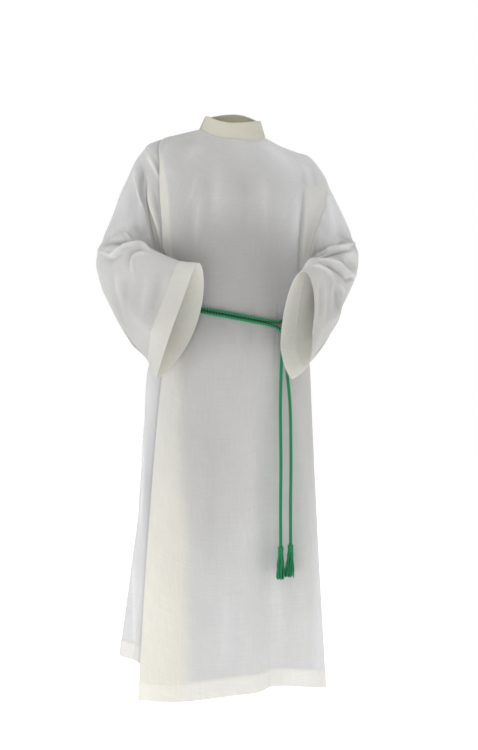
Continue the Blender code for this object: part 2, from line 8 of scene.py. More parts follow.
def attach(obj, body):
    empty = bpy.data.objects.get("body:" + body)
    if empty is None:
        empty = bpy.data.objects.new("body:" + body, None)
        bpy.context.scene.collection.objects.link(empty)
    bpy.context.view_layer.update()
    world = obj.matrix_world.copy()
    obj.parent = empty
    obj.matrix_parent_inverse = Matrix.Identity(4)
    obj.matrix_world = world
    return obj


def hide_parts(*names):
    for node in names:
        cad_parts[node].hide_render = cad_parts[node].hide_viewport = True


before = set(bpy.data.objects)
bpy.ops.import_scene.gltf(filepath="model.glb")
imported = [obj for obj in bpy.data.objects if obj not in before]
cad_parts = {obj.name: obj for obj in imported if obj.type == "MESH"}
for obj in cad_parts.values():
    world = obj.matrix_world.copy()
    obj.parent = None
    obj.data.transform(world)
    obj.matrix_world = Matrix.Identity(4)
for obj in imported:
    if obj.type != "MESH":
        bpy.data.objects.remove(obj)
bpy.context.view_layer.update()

# Metres, +Z up, the front faces -Y. A turn is an angle round the body in degrees: 0 in front,
# 90 at the wearer's left (+X), 180 behind, -90 at the wearer's right. The tables of creases,
# folds and sleeve rings are in millimetres.
mm = 0.001


def linear(hexColour):
    channels = [int(hexColour[i : i + 2], 16) / 255 for i in (1, 3, 5)]
    return [c / 12.92 if c <= 0.04045 else ((c + 0.055) / 1.055) ** 2.4 for c in channels] + [1.0]


def addNode(tree, kind, settings=(), inputs=()):
    node = tree.nodes.new("ShaderNode" + kind)
    for name, value in dict(settings).items():
        setattr(node, name, value)
    for name, value in dict(inputs).items():
        if isinstance(value, bpy.types.NodeSocket):
            tree.links.new(value, node.inputs[name])
        else:
            node.inputs[name].default_value = value
    return node


def newMaterial(name, sockets):
    material = bpy.data.materials.new(name)
    material.use_nodes = True
    shader = material.node_tree.nodes["Principled BSDF"]
    for socket, value in sockets.items():
        shader.inputs[socket].default_value = value
    return material, material.node_tree, shader


def linkSurface(tree, shader, colour, height, relief):
    strength, distance = relief
    bump = addNode(tree, "Bump", {}, {"Height": height, "Strength": strength, "Distance": distance})
    tree.links.new(bump.outputs["Normal"], shader.inputs["Normal"])
    tree.links.new(colour, shader.inputs["Base Color"])


cloth = {
    "single": "#C5C4C2",  # one layer: the painted grey of cloth in its own shade
    "pale": "#DFDFE0",  # one layer, painted paler where light goes through it
    "double": "#E2E0D6",  # two or three layers sewn together, which look creamier
    "seamThread": "#CFCBB4",
    "threadPitch": 0.0011,  # real threads lie 0.5 mm apart, drawn twice as coarse so that they show
    "slub": (0.0028, 0.060),  # width and length of a thick yarn
    "slubShade": (0.925, 1.06),
    "patches": (9.0, (0.985, 1.015)),  # to the metre, and their shades
    "foldShade": (0.70, 1.10),  # painted shade in a hollow, and painted highlight on the highest fold
    "slubHeight": 1.5,  # against a plain thread
    "relief": (0.45, 0.00018),
    # how much of the light comes through the thin cloth, and from how deep
    "through": {"outer": (0.30, 0.0016), "inner": (0.85, 0.0045)},
    "surface": {
        "Subsurface Radius": (1.0, 0.97, 0.88), "Roughness": 0.88, "Specular IOR Level": 0.25,
        "Sheen Weight": 0.12, "Sheen Roughness": 0.5,
    },
}

foldMarks = (-2.0, 1.0)  # the deepest hollow and the highest fold that the painted shading knows


def clothMaterial(name, layersMark, through):
    # Plain-woven polyester and viscose with slub yarns: matt, with faint streaks along both threads.
    share, depth = through
    sockets = {"Subsurface Weight": share, "Subsurface Scale": depth}
    material, tree, shader = newMaterial(name, {**cloth["surface"], **sockets})
    across = addNode(tree, "UVMap", {"uv_map": "clothMetres"}).outputs["UV"]
    streaks = []
    for wide, tall in (cloth["slub"], cloth["slub"][::-1]):
        spread = addNode(tree, "Mapping", {}, {"Vector": across, "Scale": (1 / wide, 1 / tall, 1.0)})
        streaks.append(addNode(tree, "TexNoise", {}, {
            "Vector": spread.outputs["Vector"], "Scale": 1.0, "Detail": 3.0, "Roughness": 0.6,
        }).outputs["Fac"])
    both = addNode(tree, "Math", {"operation": "ADD"}, {0: streaks[0], 1: streaks[1]}).outputs[0]
    scale, patchShade = cloth["patches"]
    patches = addNode(tree, "TexNoise", {}, {"Vector": across, "Scale": scale, "Detail": 2.0})
    mark = {
        markName: addNode(tree, "Attribute", {"attribute_name": markName}).outputs["Fac"]
        for markName in (layersMark, "paintedLight", "seam", "fold")
    }
    # painted light: one layer is mixed towards the pale colour where more light shows through it
    colour = linear(cloth["single"])
    for markName, over in (("paintedLight", "pale"), (layersMark, "double"), ("seam", "seamThread")):
        colour = addNode(tree, "Mix", {"data_type": "RGBA"}, {
            0: mark[markName], 6: colour, 7: linear(cloth[over]),
        }).outputs[2]
    # slubs and patches vary at random; the painted shading makes cloth that stands out paler, and a hollow
    # greyer, as more or less light comes through it
    for value, (low, high), (darkest, palest) in (
        (both, (0.6, 1.4), cloth["slubShade"]),
        (patches.outputs["Fac"], (0.3, 0.7), patchShade),
        (mark["fold"], foldMarks, cloth["foldShade"]),
    ):
        shade = addNode(tree, "MapRange", {}, {
            "Value": value, "From Min": low, "From Max": high, "To Min": darkest, "To Max": palest,
        }).outputs["Result"]
        colour = addNode(tree, "VectorMath", {"operation": "SCALE"}, {
            "Vector": colour, "Scale": shade,
        }).outputs["Vector"]
    # A wave texture's bands are 0.314 / scale apart.
    waves = [
        addNode(tree, "TexWave", {"bands_direction": axis}, {
            "Vector": across, "Scale": 0.314 / cloth["threadPitch"], "Distortion": 1.2, "Detail": 1.0,
            "Detail Scale": 0.15,
        }).outputs["Fac"]
        for axis in ("X", "Y")
    ]
    threads = addNode(tree, "Math", {"operation": "ADD"}, {0: waves[0], 1: waves[1]}).outputs[0]
    height = addNode(tree, "Math", {"operation": "MULTIPLY_ADD"}, {
        0: both, 1: cloth["slubHeight"], 2: threads,
    }).outputs[0]
    linkSurface(tree, shader, colour, height, cloth["relief"])
    return material


cord = {
    # the cord's green where the strands stand out, and the painted shade down in the grooves between them
    "bright": "#43CC8C",
    "deep": "#01140A",
    "yarnPitch": 0.0012,
    "yarnChanges": 90.0,  # changes of shade to the metre, along a yarn
    "yarnShade": 0.3,
    "yarnSlant": 0.16,  # how far the yarns lean across the cord
    "relief": (0.5, 0.0003),
    "surface": {"Roughness": 0.55, "Specular IOR Level": 0.25, "Sheen Weight": 0.03},
    "radius": 0.004,
    "lay": 0.0215,  # one full turn of its three strands
    "strands": 3,
    "fullness": 1.12,  # the strands stand a little proud of the cord's measured size
    "grooveFloor": 0.66,  # no point lies deeper than this share of the radius
    "grooveShade": (0.88, 0.08),  # painted shade: the share of the radius that is darkest, and what it takes to be bright
    "hollowShade": 0.85,
}


def cordMaterial(name):
    # Twisted rayon cord: fine parallel yarns with a soft lustre, painted darker down between the strands as
    # shade.
    material, tree, shader = newMaterial(name, cord["surface"])
    along = addNode(tree, "UVMap", {"uv_map": "clothMetres"}).outputs["UV"]
    # the layers mark carries the painted shade of the grooves here
    depth = addNode(tree, "Attribute", {"attribute_name": "layers"}).outputs["Fac"]
    spread = addNode(tree, "Mapping", {}, {
        "Vector": along, "Scale": (1 / cord["yarnPitch"], cord["yarnChanges"], 1.0),
    })
    yarns = addNode(tree, "TexNoise", {}, {
        "Vector": spread.outputs["Vector"], "Scale": 1.0, "Detail": 2.0,
    }).outputs["Fac"]
    shade = addNode(tree, "Math", {"operation": "MULTIPLY_ADD"}, {
        0: yarns, 1: cord["yarnShade"], 2: -cord["yarnShade"] / 2,
    }).outputs[0]
    lit = addNode(tree, "Math", {"operation": "ADD", "use_clamp": True}, {0: depth, 1: shade}).outputs[0]
    colour = addNode(tree, "Mix", {"data_type": "RGBA"}, {
        0: lit, 6: linear(cord["deep"]), 7: linear(cord["bright"]),
    })
    linkSurface(tree, shader, colour.outputs[2], yarns, cord["relief"])
    return material


slubCloth = clothMaterial("slubWovenPolyesterViscose", "layers", cloth["through"]["outer"])
slubInside = clothMaterial("slubWovenInnerFace", "inside", cloth["through"]["inner"])
twistedCord = cordMaterial("twistedRayonCord")
print("finishes made")


bodyRings = {
    "frontZ": (-0.027, -0.048, -0.075, -0.105, -0.140, -0.175, -0.210, -0.255, -0.295, -0.325,
               -0.350, -0.405, -0.4645, -0.530, -0.610, -0.770, -0.970, -1.180, -1.371),
    "backZ": (0.018, 0.000, -0.025, -0.055, -0.090, -0.130, -0.170, -0.220, -0.270, -0.310,
              -0.345, -0.400, -0.4645, -0.530, -0.600, -0.760, -0.955, -1.160, -1.322),
    "rightZ": (0.006, -0.003, -0.013, -0.0225, -0.040, -0.088, -0.139, -0.205, -0.270, -0.315,
               -0.345, -0.392, -0.433, -0.510, -0.600, -0.760, -0.955, -1.160, -1.330),
    "leftZ": (-0.008, -0.028, -0.043, -0.058, -0.108, -0.142, -0.179, -0.235, -0.290, -0.327,
              -0.352, -0.420, -0.496, -0.550, -0.610, -0.770, -0.970, -1.187, -1.386),
    "slope": (-0.09, -0.10, -0.10, -0.10, -0.11, -0.10, -0.08, -0.05, -0.03, -0.03,
              -0.04, -0.11, -0.185, -0.10, -0.03, 0.0, 0.01, 0.03, 0.055),
    "halfWidth": (0.0795, 0.1185, 0.158, 0.1945, 0.226, 0.233, 0.232, 0.2227, 0.2055, 0.1867,
                  0.181, 0.177, 0.170, 0.1885, 0.2065, 0.216, 0.2315, 0.250, 0.266),
    "frontDepth": (0.070, 0.084, 0.097, 0.108, 0.116, 0.122, 0.126, 0.128, 0.130, 0.131,
                   0.131, 0.130, 0.127, 0.134, 0.141, 0.150, 0.165, 0.182, 0.200),
    "backDepth": (0.070, 0.088, 0.103, 0.113, 0.120, 0.124, 0.126, 0.126, 0.124, 0.121,
                  0.118, 0.115, 0.111, 0.130, 0.150, 0.170, 0.190, 0.213, 0.235),
    "centreX": (0.003, 0.0015, 0.002, 0.0045, 0.010, 0.010, 0.008, 0.0035, 0.002, 0.002,
                0.002, 0.004, 0.007, 0.003, -0.008, -0.011, -0.0155, -0.021, -0.026),
    "centreY": (0, 0, 0, 0, 0, 0, 0, 0, 0, 0, 0, 0, 0, 0.004, 0.012, 0.020, 0.030, 0.042, 0.055),
    "yaw": (6, 6, 6, 6, 6, 6, 6, 6.5, 7, 7, 7, 7.5, 8, 8.5, 9, 10, 11.5, 13, 14),
    "freeEdge": (-90, -90, -85, -71.8, -56.6, -53.1, -51.6, -51.4, -56.4, -62,
                 -64, -64, -62, -57, -51.8, -52.8, -51.2, -48.3, -47.7),
    "sideSeam": (-90, -90, -90, -90, -90, -90, -90, -90, -90, -90,
                 -90, -92, -95, -98, -100, -103, -106, -109, -112),
}
neck, shoulderTip, armpit, waist, hem = 0, 4, 10, 12, 18
armholeFront, armholeBack = {-1: 22, 1: 32}, 27  # degrees, by side: -1 is the wearer's right
lap = 0.0039  # how far the outer front lies above the inner one
squareness = 0.16  # of the rings below the shoulders
foldDepth = 0.006  # a fold this deep shows its full change of painted shade
lapEnds = (12, 40)  # between these turns it comes down to the body's own surface
# the hem hangs lower at the left seam and at the free corner
hemDrop = {"side": 0.012, "corner": 0.013, "cornerLength": 0.022}
# Folds of the hanging skirt: turn, half width in degrees, how far they stand out, where they begin.
bodyFolds = (
    (-86, 24, -50, 15.5), (-115, 18, -20, 14.5), (-103, 20, -40, 12.5), (-134, 22, 28, 12.5),
    (-163, 15, 26, 13.0), (170, 14, -18, 12.6), (147, 15, 28, 12.8), (118, 13, 20, 13.5),
    (44, 16, 22, 13.5), (22, 20, -45, 13.5),
)
overFolds = ((-38, 36, 50, 12.5),)
underFolds = ((-50, 42, -50, 12.5),)


def ramp(start, end, at):
    part = np.clip((at - start) / (end - start), 0.0, 1.0)
    return part * part * (3.0 - 2.0 * part)


def bell(away, halfWidth):
    return np.exp(-((away / halfWidth) ** 2))


def unit(vectors):
    return vectors / np.maximum(np.linalg.norm(vectors, axis=-1, keepdims=True), 1e-12)


def blended(a, b, c, d, t):
    return 0.5 * (2 * b + (c - a) * t + (2 * a - 5 * b + 4 * c - d) * t**2 + (3 * b - a - 3 * c + d) * t**3)


def spline(rows, at):
    rows = np.asarray(rows, float)
    at = np.asarray(at, float)
    padded = np.concatenate([2 * rows[:1] - rows[1:2], rows, 2 * rows[-1:] - rows[-2:-1]])
    first = np.clip(np.floor(at).astype(int), 0, len(rows) - 2)
    t = (at - first).reshape(at.shape + (1,) * (rows.ndim - 1))
    return blended(*(padded[first + step] for step in range(4)), t)


def stepsOf(points, axis=0):
    return np.linalg.norm(np.diff(points, axis=axis), axis=-1)


def runAlong(line):
    # How far along a line each of its points lies.
    return np.concatenate([[0.0], np.cumsum(stepsOf(line))])


def pointsAt(line, run, at):
    return np.stack([np.interp(at, run, line[:, axis]) for axis in range(line.shape[1])], axis=-1)


def foldRise(folds, turn, level):
    rise = np.zeros(np.broadcast(turn, level).shape)
    for centre, halfWidth, height, begins in folds:
        away = np.abs((turn - centre + 180.0) % 360.0 - 180.0) / halfWidth
        rise += mm * height * ramp(begins, hem, level) * np.cos(np.minimum(away, 1.0) * np.pi / 2) ** 2
    return rise


def bodyPoint(turn, level, folds):
    column = {name: spline(rows, level) for name, rows in bodyRings.items()}
    roundness = 1.0 - squareness * ramp(1, 6, level)
    sine, cosine = np.sin(np.radians(turn)), np.cos(np.radians(turn))
    across = column["halfWidth"] * np.sign(sine) * np.abs(sine) ** roundness
    depth = np.where(cosine > 0, column["frontDepth"], column["backDepth"])
    along = -depth * np.sign(cosine) * np.abs(cosine) ** roundness
    out = 1.0 + foldRise(folds, turn, level) / np.hypot(across, along)
    side = np.abs(sine) ** 4
    sideZ = np.where(sine < 0, column["rightZ"], column["leftZ"])
    middleZ = np.where(cosine > 0, column["frontZ"], column["backZ"]) + column["slope"] * across
    yaw = np.radians(column["yaw"])
    across, along = across * out, along * out
    wrapped = (turn + 180.0) % 360.0 - 180.0
    drop = hemDrop["side"] * ramp(14, hem, level) * ramp(10, 85, wrapped) * ramp(150, 100, wrapped)
    return np.stack([
        column["centreX"] + across * np.cos(yaw) - along * np.sin(yaw),
        column["centreY"] + across * np.sin(yaw) + along * np.cos(yaw),
        side * sideZ + (1.0 - side) * middleZ - drop,
    ], axis=-1)


def bodyNormal(turn, level, folds):
    along = bodyPoint(turn + 0.5, level, folds) - bodyPoint(turn - 0.5, level, folds)
    down = bodyPoint(turn, level + 0.05, folds) - bodyPoint(turn, level - 0.05, folds)
    return unit(np.cross(down, along))


def seamEase(points, fromSeam):
    # The allowances sewn to one side fill out the hollow between the arm and the body.
    low = ramp(-0.12, -0.19, points[..., 2]) * ramp(-0.35, -0.30, points[..., 2])
    return panels["seamEase"] * low * bell(fromSeam, panels["easeReach"])


def armholeCut(level):
    part = np.clip((level - shoulderTip) / (armpit - shoulderTip), 0.0, 1.0)
    return np.sin(np.pi * part) ** 0.7


def lapAt(turn):
    return lap * (1.0 - ramp(*lapEnds, turn))


def evenLevels(turn, count):
    # Levels whose rings lie evenly down the cloth at this turn.
    fine = np.linspace(neck, hem, 600)
    run = runAlong(bodyPoint(np.full(600, float(turn)), fine, ()))
    return np.interp(np.linspace(0, run[-1], count), run, fine)


# A level camera 3.6 m in front. The creases are placed where they show from it.
camera = {"x": 0.01875, "y": -3.6, "z": -0.6025, "lens": 69.12, "sensor": 36.0}


def asSeen(points, side):
    # Where points show, in metres on the plane through the middle of the garment: from the
    # camera in front, or straight from behind.
    if side == "front":
        nearer = camera["y"] / (camera["y"] - points[..., 1])
        flat = [
            camera["x"] + (points[..., 0] - camera["x"]) * nearer,
            camera["z"] + (points[..., 2] - camera["z"]) * nearer,
        ]
    else:
        flat = [points[..., 0], points[..., 2]]
    return np.stack(flat, axis=-1)


def route(places, count=28):
    return spline(np.array(places, float), np.linspace(0, len(places) - 1, count))


def creaseRise(points, normals, creases, side):
    # Each crease is a route of places, then its half width, how far it stands out (a trough is
    # less than 0), and the share of its length over which it fades at its start and at its end.
    flat = asSeen(points, side) / mm
    facing = -normals[..., 1] if side == "front" else normals[..., 1]
    seen = ramp(-0.35, 0.15, facing)
    rise = np.zeros(points.shape[:-1])
    for *places, halfWidth, height, fadeIn, fadeOut in creases:
        length = stepsOf(route(places)).sum()
        line = route(places, max(28, round(length / (0.4 * halfWidth))))
        low, high = line.min(axis=0) - 3 * halfWidth, line.max(axis=0) + 3 * halfWidth
        near = ((flat > low) & (flat < high)).all(axis=-1) & (seen > 0)
        if not near.any():
            continue
        away = np.linalg.norm(flat[near][:, None, :] - line[None], axis=-1)
        share = away.argmin(axis=1) / (len(line) - 1)
        fade = ramp(0, max(fadeIn, 1e-6), share) * ramp(1, 1 - max(fadeOut, 1e-6), share)
        rise[near] += height * fade * np.exp(-((away.min(axis=1) / halfWidth) ** 1.5))
    return rise * seen


def creaseLift(points, normals, creases, side):
    return mm * creaseRise(points, normals, creases, side)


def softUneven(points, size, height, seed):
    # The slight unevenness that hanging cloth keeps, longer down than across.
    flat = points.reshape(-1, 3)
    lift = [
        noise.noise(Vector((p[0] / size + seed, p[1] / size, p[2] / (2.6 * size))))
        + 0.5 * noise.noise(Vector((p[0] / size * 2.3, p[1] / size * 2.3 + seed, p[2] / size * 0.9)))
        for p in flat
    ]
    return np.array(lift).reshape(points.shape[:-1]) * height


def distanceTo(points, places):
    flat = asSeen(points, "front")
    line = mm * route(places, 60)
    return np.linalg.norm(flat[..., None, :] - line, axis=-1).min(axis=-1)


def xOfLine(flat, line):
    # How far across a line that runs down lies, at each point's own height.
    return np.interp(-flat[..., 1], -line[:, 1], line[:, 0])


def gridNormals(points, closed):
    if closed:
        across = np.roll(points, -1, axis=1) - np.roll(points, 1, axis=1)
    else:
        across = np.gradient(points, axis=1)
    return unit(np.cross(np.gradient(points, axis=0), across))


def ringed(grid, closed):
    # A grid that goes all round has its first column at both ends.
    return np.concatenate([grid, grid[:, :1]], axis=1) if closed else grid


def tubeFaces(start, rows, sides):
    index = start + np.arange(rows * sides).reshape(rows, sides)
    beside = np.roll(index, -1, axis=1)
    faces = np.stack([index[:-1], beside[:-1], beside[1:], index[1:]], axis=-1).reshape(-1, 4)
    return faces.tolist() + [index[0][::-1].tolist(), index[-1].tolist()]


def newPiece(name, points, faces, materials, marks=(), pointUv=None, cornerUv=None):
    mesh = bpy.data.meshes.new(name)
    mesh.from_pydata(np.reshape(points, (-1, 3)).tolist(), [], faces)
    if pointUv is not None:
        corner = np.empty(len(mesh.loops), np.int32)
        mesh.loops.foreach_get("vertex_index", corner)
        cornerUv = pointUv.reshape(-1, 2)[corner]
    if cornerUv is not None:
        mesh.uv_layers.new(name="clothMetres").uv.foreach_set("vector", cornerUv.ravel())
    for markName, values in dict(marks).items():
        attribute = mesh.attributes.new(markName, "FLOAT", "POINT")
        attribute.data.foreach_set("value", np.ravel(values).astype(np.float32))
    for material in materials:
        mesh.materials.append(material)
    mesh.shade_smooth()
    piece = bpy.data.objects.new(name, mesh)
    bpy.context.scene.collection.objects.link(piece)
    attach(piece, "root")
    return piece


def clothPiece(name, points, marks, thickness, closed=False):
    rows, columns = points.shape[:2]
    across, down = stepsOf(ringed(points, closed), 1), stepsOf(points)
    u = np.concatenate([np.zeros((rows, 1)), np.cumsum(across, axis=1)], axis=1)
    u -= u.mean(axis=1, keepdims=True)
    v = ringed(np.concatenate([np.zeros((1, columns)), np.cumsum(down, axis=0)], axis=0), closed)
    index = ringed(np.arange(rows * columns).reshape(rows, columns), closed)
    faces, corners = (
        np.stack([grid[:-1, :-1], grid[1:, :-1], grid[1:, 1:], grid[:-1, 1:]], axis=2)
        for grid in (index, np.stack([u, v], axis=-1))
    )
    marks.setdefault("inside", marks["layers"])
    marks = {mark: np.broadcast_to(values, (rows, columns)).ravel() for mark, values in marks.items()}
    faces = faces.reshape(-1, 4).tolist()
    piece = newPiece(name, points, faces, (slubCloth, slubInside), marks, cornerUv=corners)
    # half as thick in one layer as where it is fully doubled
    group = piece.vertex_groups.new(name="thickness")
    for weight in (0.5, 0.75, 1.0):
        picked = np.flatnonzero(np.round(marks["layers"] * 2) / 4 + 0.5 == weight)
        group.add(picked.tolist(), weight, "REPLACE")
    solid = piece.modifiers.new("clothThickness", "SOLIDIFY")
    solid.thickness = thickness
    solid.offset = -1.0
    solid.vertex_group = "thickness"
    solid.use_rim = True
    solid.material_offset = 1
    crisp = piece.modifiers.new("crispEdges", "EDGE_SPLIT")
    crisp.split_angle = math.radians(50)
    return piece


panels = {
    "hemDepth": 0.044,
    "hemStep": 0.0007,
    "hemSoft": 0.0012,  # half the way over which the cloth steps up onto the hem
    "stitchIn": 0.0018,
    "stitchPull": (0.0006, 0.0022),  # how far in a row of stitches draws the cloth, and how far around it
    "flatAtSeam": 0.010,
    "seamEase": 0.0045,
    "easeReach": 0.011,
    "seamTuck": (0.0003, 0.0035),  # how far in a sewn edge rolls, and over what width
    "seamShows": 0.0022,
    "stitchShade": 0.15,
    "hemLayers": 0.6,
    # painted light that makes the hem paler
    "paintedHemLight": 0.9,
    "uneven": (0.10, 0.0011),  # how long and how high the soft unevenness is
    "belt": {"z": 0.4645, "slope": 0.18, "reach": 0.016, "flat": 0.8},
    "thickness": 0.0013,
}

# Creases in front, as they show on the plane through the middle of the garment.
frontCreases = (
    # soft light streaks down the chest
    ((-70, -115), (-81, -215), (-90, -317), 12.7, 4.7, 0.4, 0.5),
    ((-30, -40), (-32, -140), (-34, -270), 20.4, 4.7, 0.5, 0.5),
    ((-56, -60), (-55, -150), (-58, -260), 13.6, -3.4, 0.5, 0.6),
    ((30, -50), (36, -150), (40, -290), 15.3, -3.4, 0.5, 0.6),
    ((78, -60), (86, -160), (90, -290), 14.5, 4, 0.5, 0.5),
    ((-77, -86.5), (-95, -138), (-112.8, -190), 6, 2.8, 0.4, 0.4),
    ((-80.5, -168.5), (-86, -222), (-91.3, -275.8), 5.5, 2.6, 0.4, 0.4),
    ((-59, -240), (-69.8, -297.3), 5, 2.2, 0.4, 0.4),
    ((-178.8, -55), (-169.8, -25.8), (-155.5, -11.5), (-127, -0.8), (-91.3, 5), 3.4, -2.2, 0.2, 0.4),
    # short drag folds at the wearer's left shoulder
    ((161, -53), (180, -93), (183, -118), (193, -132), 5.5, -5, 0.6, 0.5),
    ((198.5, -60), (206, -93), (211, -118), (214, -143), 5.5, -4.7, 0.6, 0.5),
    ((172, -62), (192, -100), (199, -128), 5.1, 3.7, 0.5, 0.5),
    # deep line where the chest turns in beside the arm
    ((184, -110), (181, -168), (175.5, -252), (172, -345), (170, -430), 4.8, -8.5, 0.4, 0.4),
    ((168, -130), (166, -200), (160, -300), 7.6, 4, 0.5, 0.4),
    # soft pulls from the collar towards the wearer's right shoulder
    ((-58, -22), (-100, -50), (-135, -90), 11.9, 3.4, 0.4, 0.6),
    ((-68, -10), (-110, -22), (-150, -45), 8.5, -2.5, 0.4, 0.6),
    ((70, -28), (110, -45), (160, -75), 10.2, 3.1, 0.4, 0.6),
    # pressed fold down the skirt below the belt
    ((115.7, -415), (115.7, -470), 2, -1.9, 0.3, 0.1),
    ((112.5, -490), (108.7, -540), (106, -715), 2, -1.9, 0.05, 0.5),
    # cloth drawn in at the belt
    ((-30, -400), (-26, -440), (-24, -475), (-28, -540), 6.8, -2.8, 0.5, 0.6),
    ((52, -395), (54, -470), (50, -560), 8.5, -3.1, 0.5, 0.6),
    ((22, -410), (20, -480), (12, -600), 7.6, 2.2, 0.5, 0.6),
    # long soft folds down the skirt
    ((146, -720), (148, -1000), (146, -1270), 18.7, -2.6, 0.4, 0.3),
    ((46, -560), (52, -860), (48, -1180), 22.1, 2.4, 0.4, 0.4),
    ((-40, -640), (-48, -900), (-50, -1200), 20.4, -2, 0.4, 0.4),
    ((100, -980), (112, -1160), (118, -1340), 15.3, 3.4, 0.5, 0.2),
    ((-8, -1020), (-14, -1200), (-18, -1350), 17, 2.8, 0.5, 0.2),
)
# Folds of the inner front, between its outer edge and the armhole.
underCreases = (
    ((-210, -115), (-201, -168), (-191.5, -203), (-181.5, -238), (-170.5, -298), 5.5, 5.4, 0.3, 0.1),
    ((-214, -50), (-199, -72), (-186, -98), (-180, -118), 5, 5.7, 0.2, 0.5),
    ((-196, -55), (-184, -82), (-182, -98), 4.5, -4.7, 0.3, 0.3),
    ((-194, -130), (-186, -190), (-177, -250), (-171, -300), 5, -6.1, 0.3, 0.1),
    ((-214, -700), (-217, -865), (-225, -1017), 6, 6.8, 0.3, 0.3),
    ((-242, -1037), (-240, -1162), (-237, -1278), 6, 6.1, 0.3, 0.1),
    ((-228, -660), (-232, -800), (-241, -960), 8, -5.4, 0.3, 0.4),
)
backCreases = (
    # from the shoulder blades down to the belt
    ((-110, -110), (-92, -230), (-70, -400), 14.4, 5.9, 0.4, 0.3),
    ((118, -130), (100, -250), (74, -410), 15.3, 5.9, 0.4, 0.3),
    ((-20, -60), (-24, -200), (-20, -380), 19.8, 3.9, 0.4, 0.4),
    ((-60, -140), (-52, -270), (-42, -410), 11.7, -5.2, 0.4, 0.2),
    ((52, -150), (46, -280), (30, -410), 11.7, -4.9, 0.4, 0.2),
    # drawn in above and below the belt
    ((-130, -330), (-124, -400), (-120, -445), 7.2, -5.2, 0.5, 0.1),
    ((-90, -350), (-86, -410), (-83, -450), 6.3, 3.9, 0.5, 0.2),
    ((8, -370), (6, -420), (4, -460), 6.3, -4.2, 0.5, 0.1),
    ((110, -350), (104, -420), (100, -470), 7.2, -4.9, 0.5, 0.1),
    ((140, -320), (138, -400), (134, -470), 7.2, 3.4, 0.5, 0.2),
    ((-112, -470), (-118, -560), (-130, -700), 9, -6.5, 0.1, 0.6),
    ((-60, -475), (-60, -580), (-68, -760), 9.9, 5.9, 0.1, 0.6),
    ((-16, -480), (-14, -570), (-16, -690), 8.1, -5.5, 0.1, 0.6),
    ((40, -485), (42, -620), (48, -860), 10.8, 6.2, 0.1, 0.6),
    ((86, -490), (92, -590), (98, -720), 9, -6.2, 0.1, 0.6),
    # long folds of the skirt
    ((-150, -700), (-170, -980), (-190, -1330), 23.4, 9.1, 0.4, 0.0),
    ((-86, -760), (-94, -1020), (-104, -1340), 18, -7.8, 0.4, 0.0),
    ((-10, -800), (-14, -1060), (-16, -1340), 25.2, 7.8, 0.4, 0.0),
    ((86, -820), (96, -1080), (110, -1340), 18, -7.2, 0.4, 0.0),
    ((150, -740), (160, -1000), (172, -1340), 19.8, 6.5, 0.4, 0.0),
    # soft pulls across the shoulders
    ((-50, 0), (-110, -30), (-170, -80), 12.6, 3.6, 0.3, 0.5),
    ((50, -5), (110, -40), (180, -100), 12.6, 3.6, 0.3, 0.5),
    ((-70, -60), (-130, -110), (-185, -190), 10.8, -3.1, 0.4, 0.5),
    ((80, -70), (140, -125), (190, -210), 10.8, -3.1, 0.4, 0.5),
)
# The ridge beside the wearer's right armhole, which crosses its seam.
armholeRidge = (
    ((-210, -110), (-201.2, -167.5), (-191.2, -202.5), (-181.2, -237.5), (-174.8, -272.5), (-170.5, -300))
)
seamCreases = ((*armholeRidge, 4.2, 5.2, 0.2, 0.1),)
# Doubled cloth that shows as pale lines on the inner front, below the shoulder and beside the arm.
paleLines = (
    ((-213.7, -47.5), (-198.7, -72.5), (-186.2, -100), (-178.7, -120)),
    armholeRidge,
)
# Where the facing of the outer front ends, as it shows in front.
facingEnd = mm * np.array(
    ((-174, -52), (-166, -98), (-160, -130), (-156, -168), (-155, -240), (-149, -290), (-136, -400),
     (-127, -560), (-126, -780), (-119, -900), (-114, -980), (-114, -1100), (-112, -1400))
)
# The line beside the arm, past which the front is doubled.
armLine = mm * np.array(((186, -90), (184, -122), (181, -168), (175.5, -252), (172, -345)))


def inwardTuck(fromSeam):
    # A sewn edge rolls in towards its seam.
    depth, reach = panels["seamTuck"]
    return -depth * bell(fromSeam, reach)


def panelGrid(left, right, folds, layerLap, sewn, columns, rows, evenAt):
    levels = evenLevels(evenAt, rows)[:, None]
    share = np.linspace(0.0, 1.0, columns)[None, :]
    turns = left(levels) * (1 - share) + right(levels) * share
    levels = levels + 0 * turns
    base = bodyPoint(turns, levels, folds)
    normals = bodyNormal(turns, levels, folds)
    width = stepsOf(base, 1).sum(axis=1, keepdims=True)
    base = base + normals * layerLap(turns)[..., None]
    for fromEdge, isSewn in zip((share, 1 - share), sewn):
        if isSewn:
            base = base + normals * inwardTuck(fromEdge * width)[..., None]
    toHem = np.concatenate([np.cumsum(stepsOf(base)[::-1], axis=0)[::-1], np.zeros((1, columns))], axis=0)
    return base, normals, levels, turns, toHem, share * width, (1 - share) * width


def hemBand(toEdge, depth):
    # Where the turned hem lies, and the row of stitches that holds it.
    soft = panels["hemSoft"]
    return ramp(depth + soft, depth - soft, toEdge), bell(toEdge - depth, panels["stitchPull"][1])


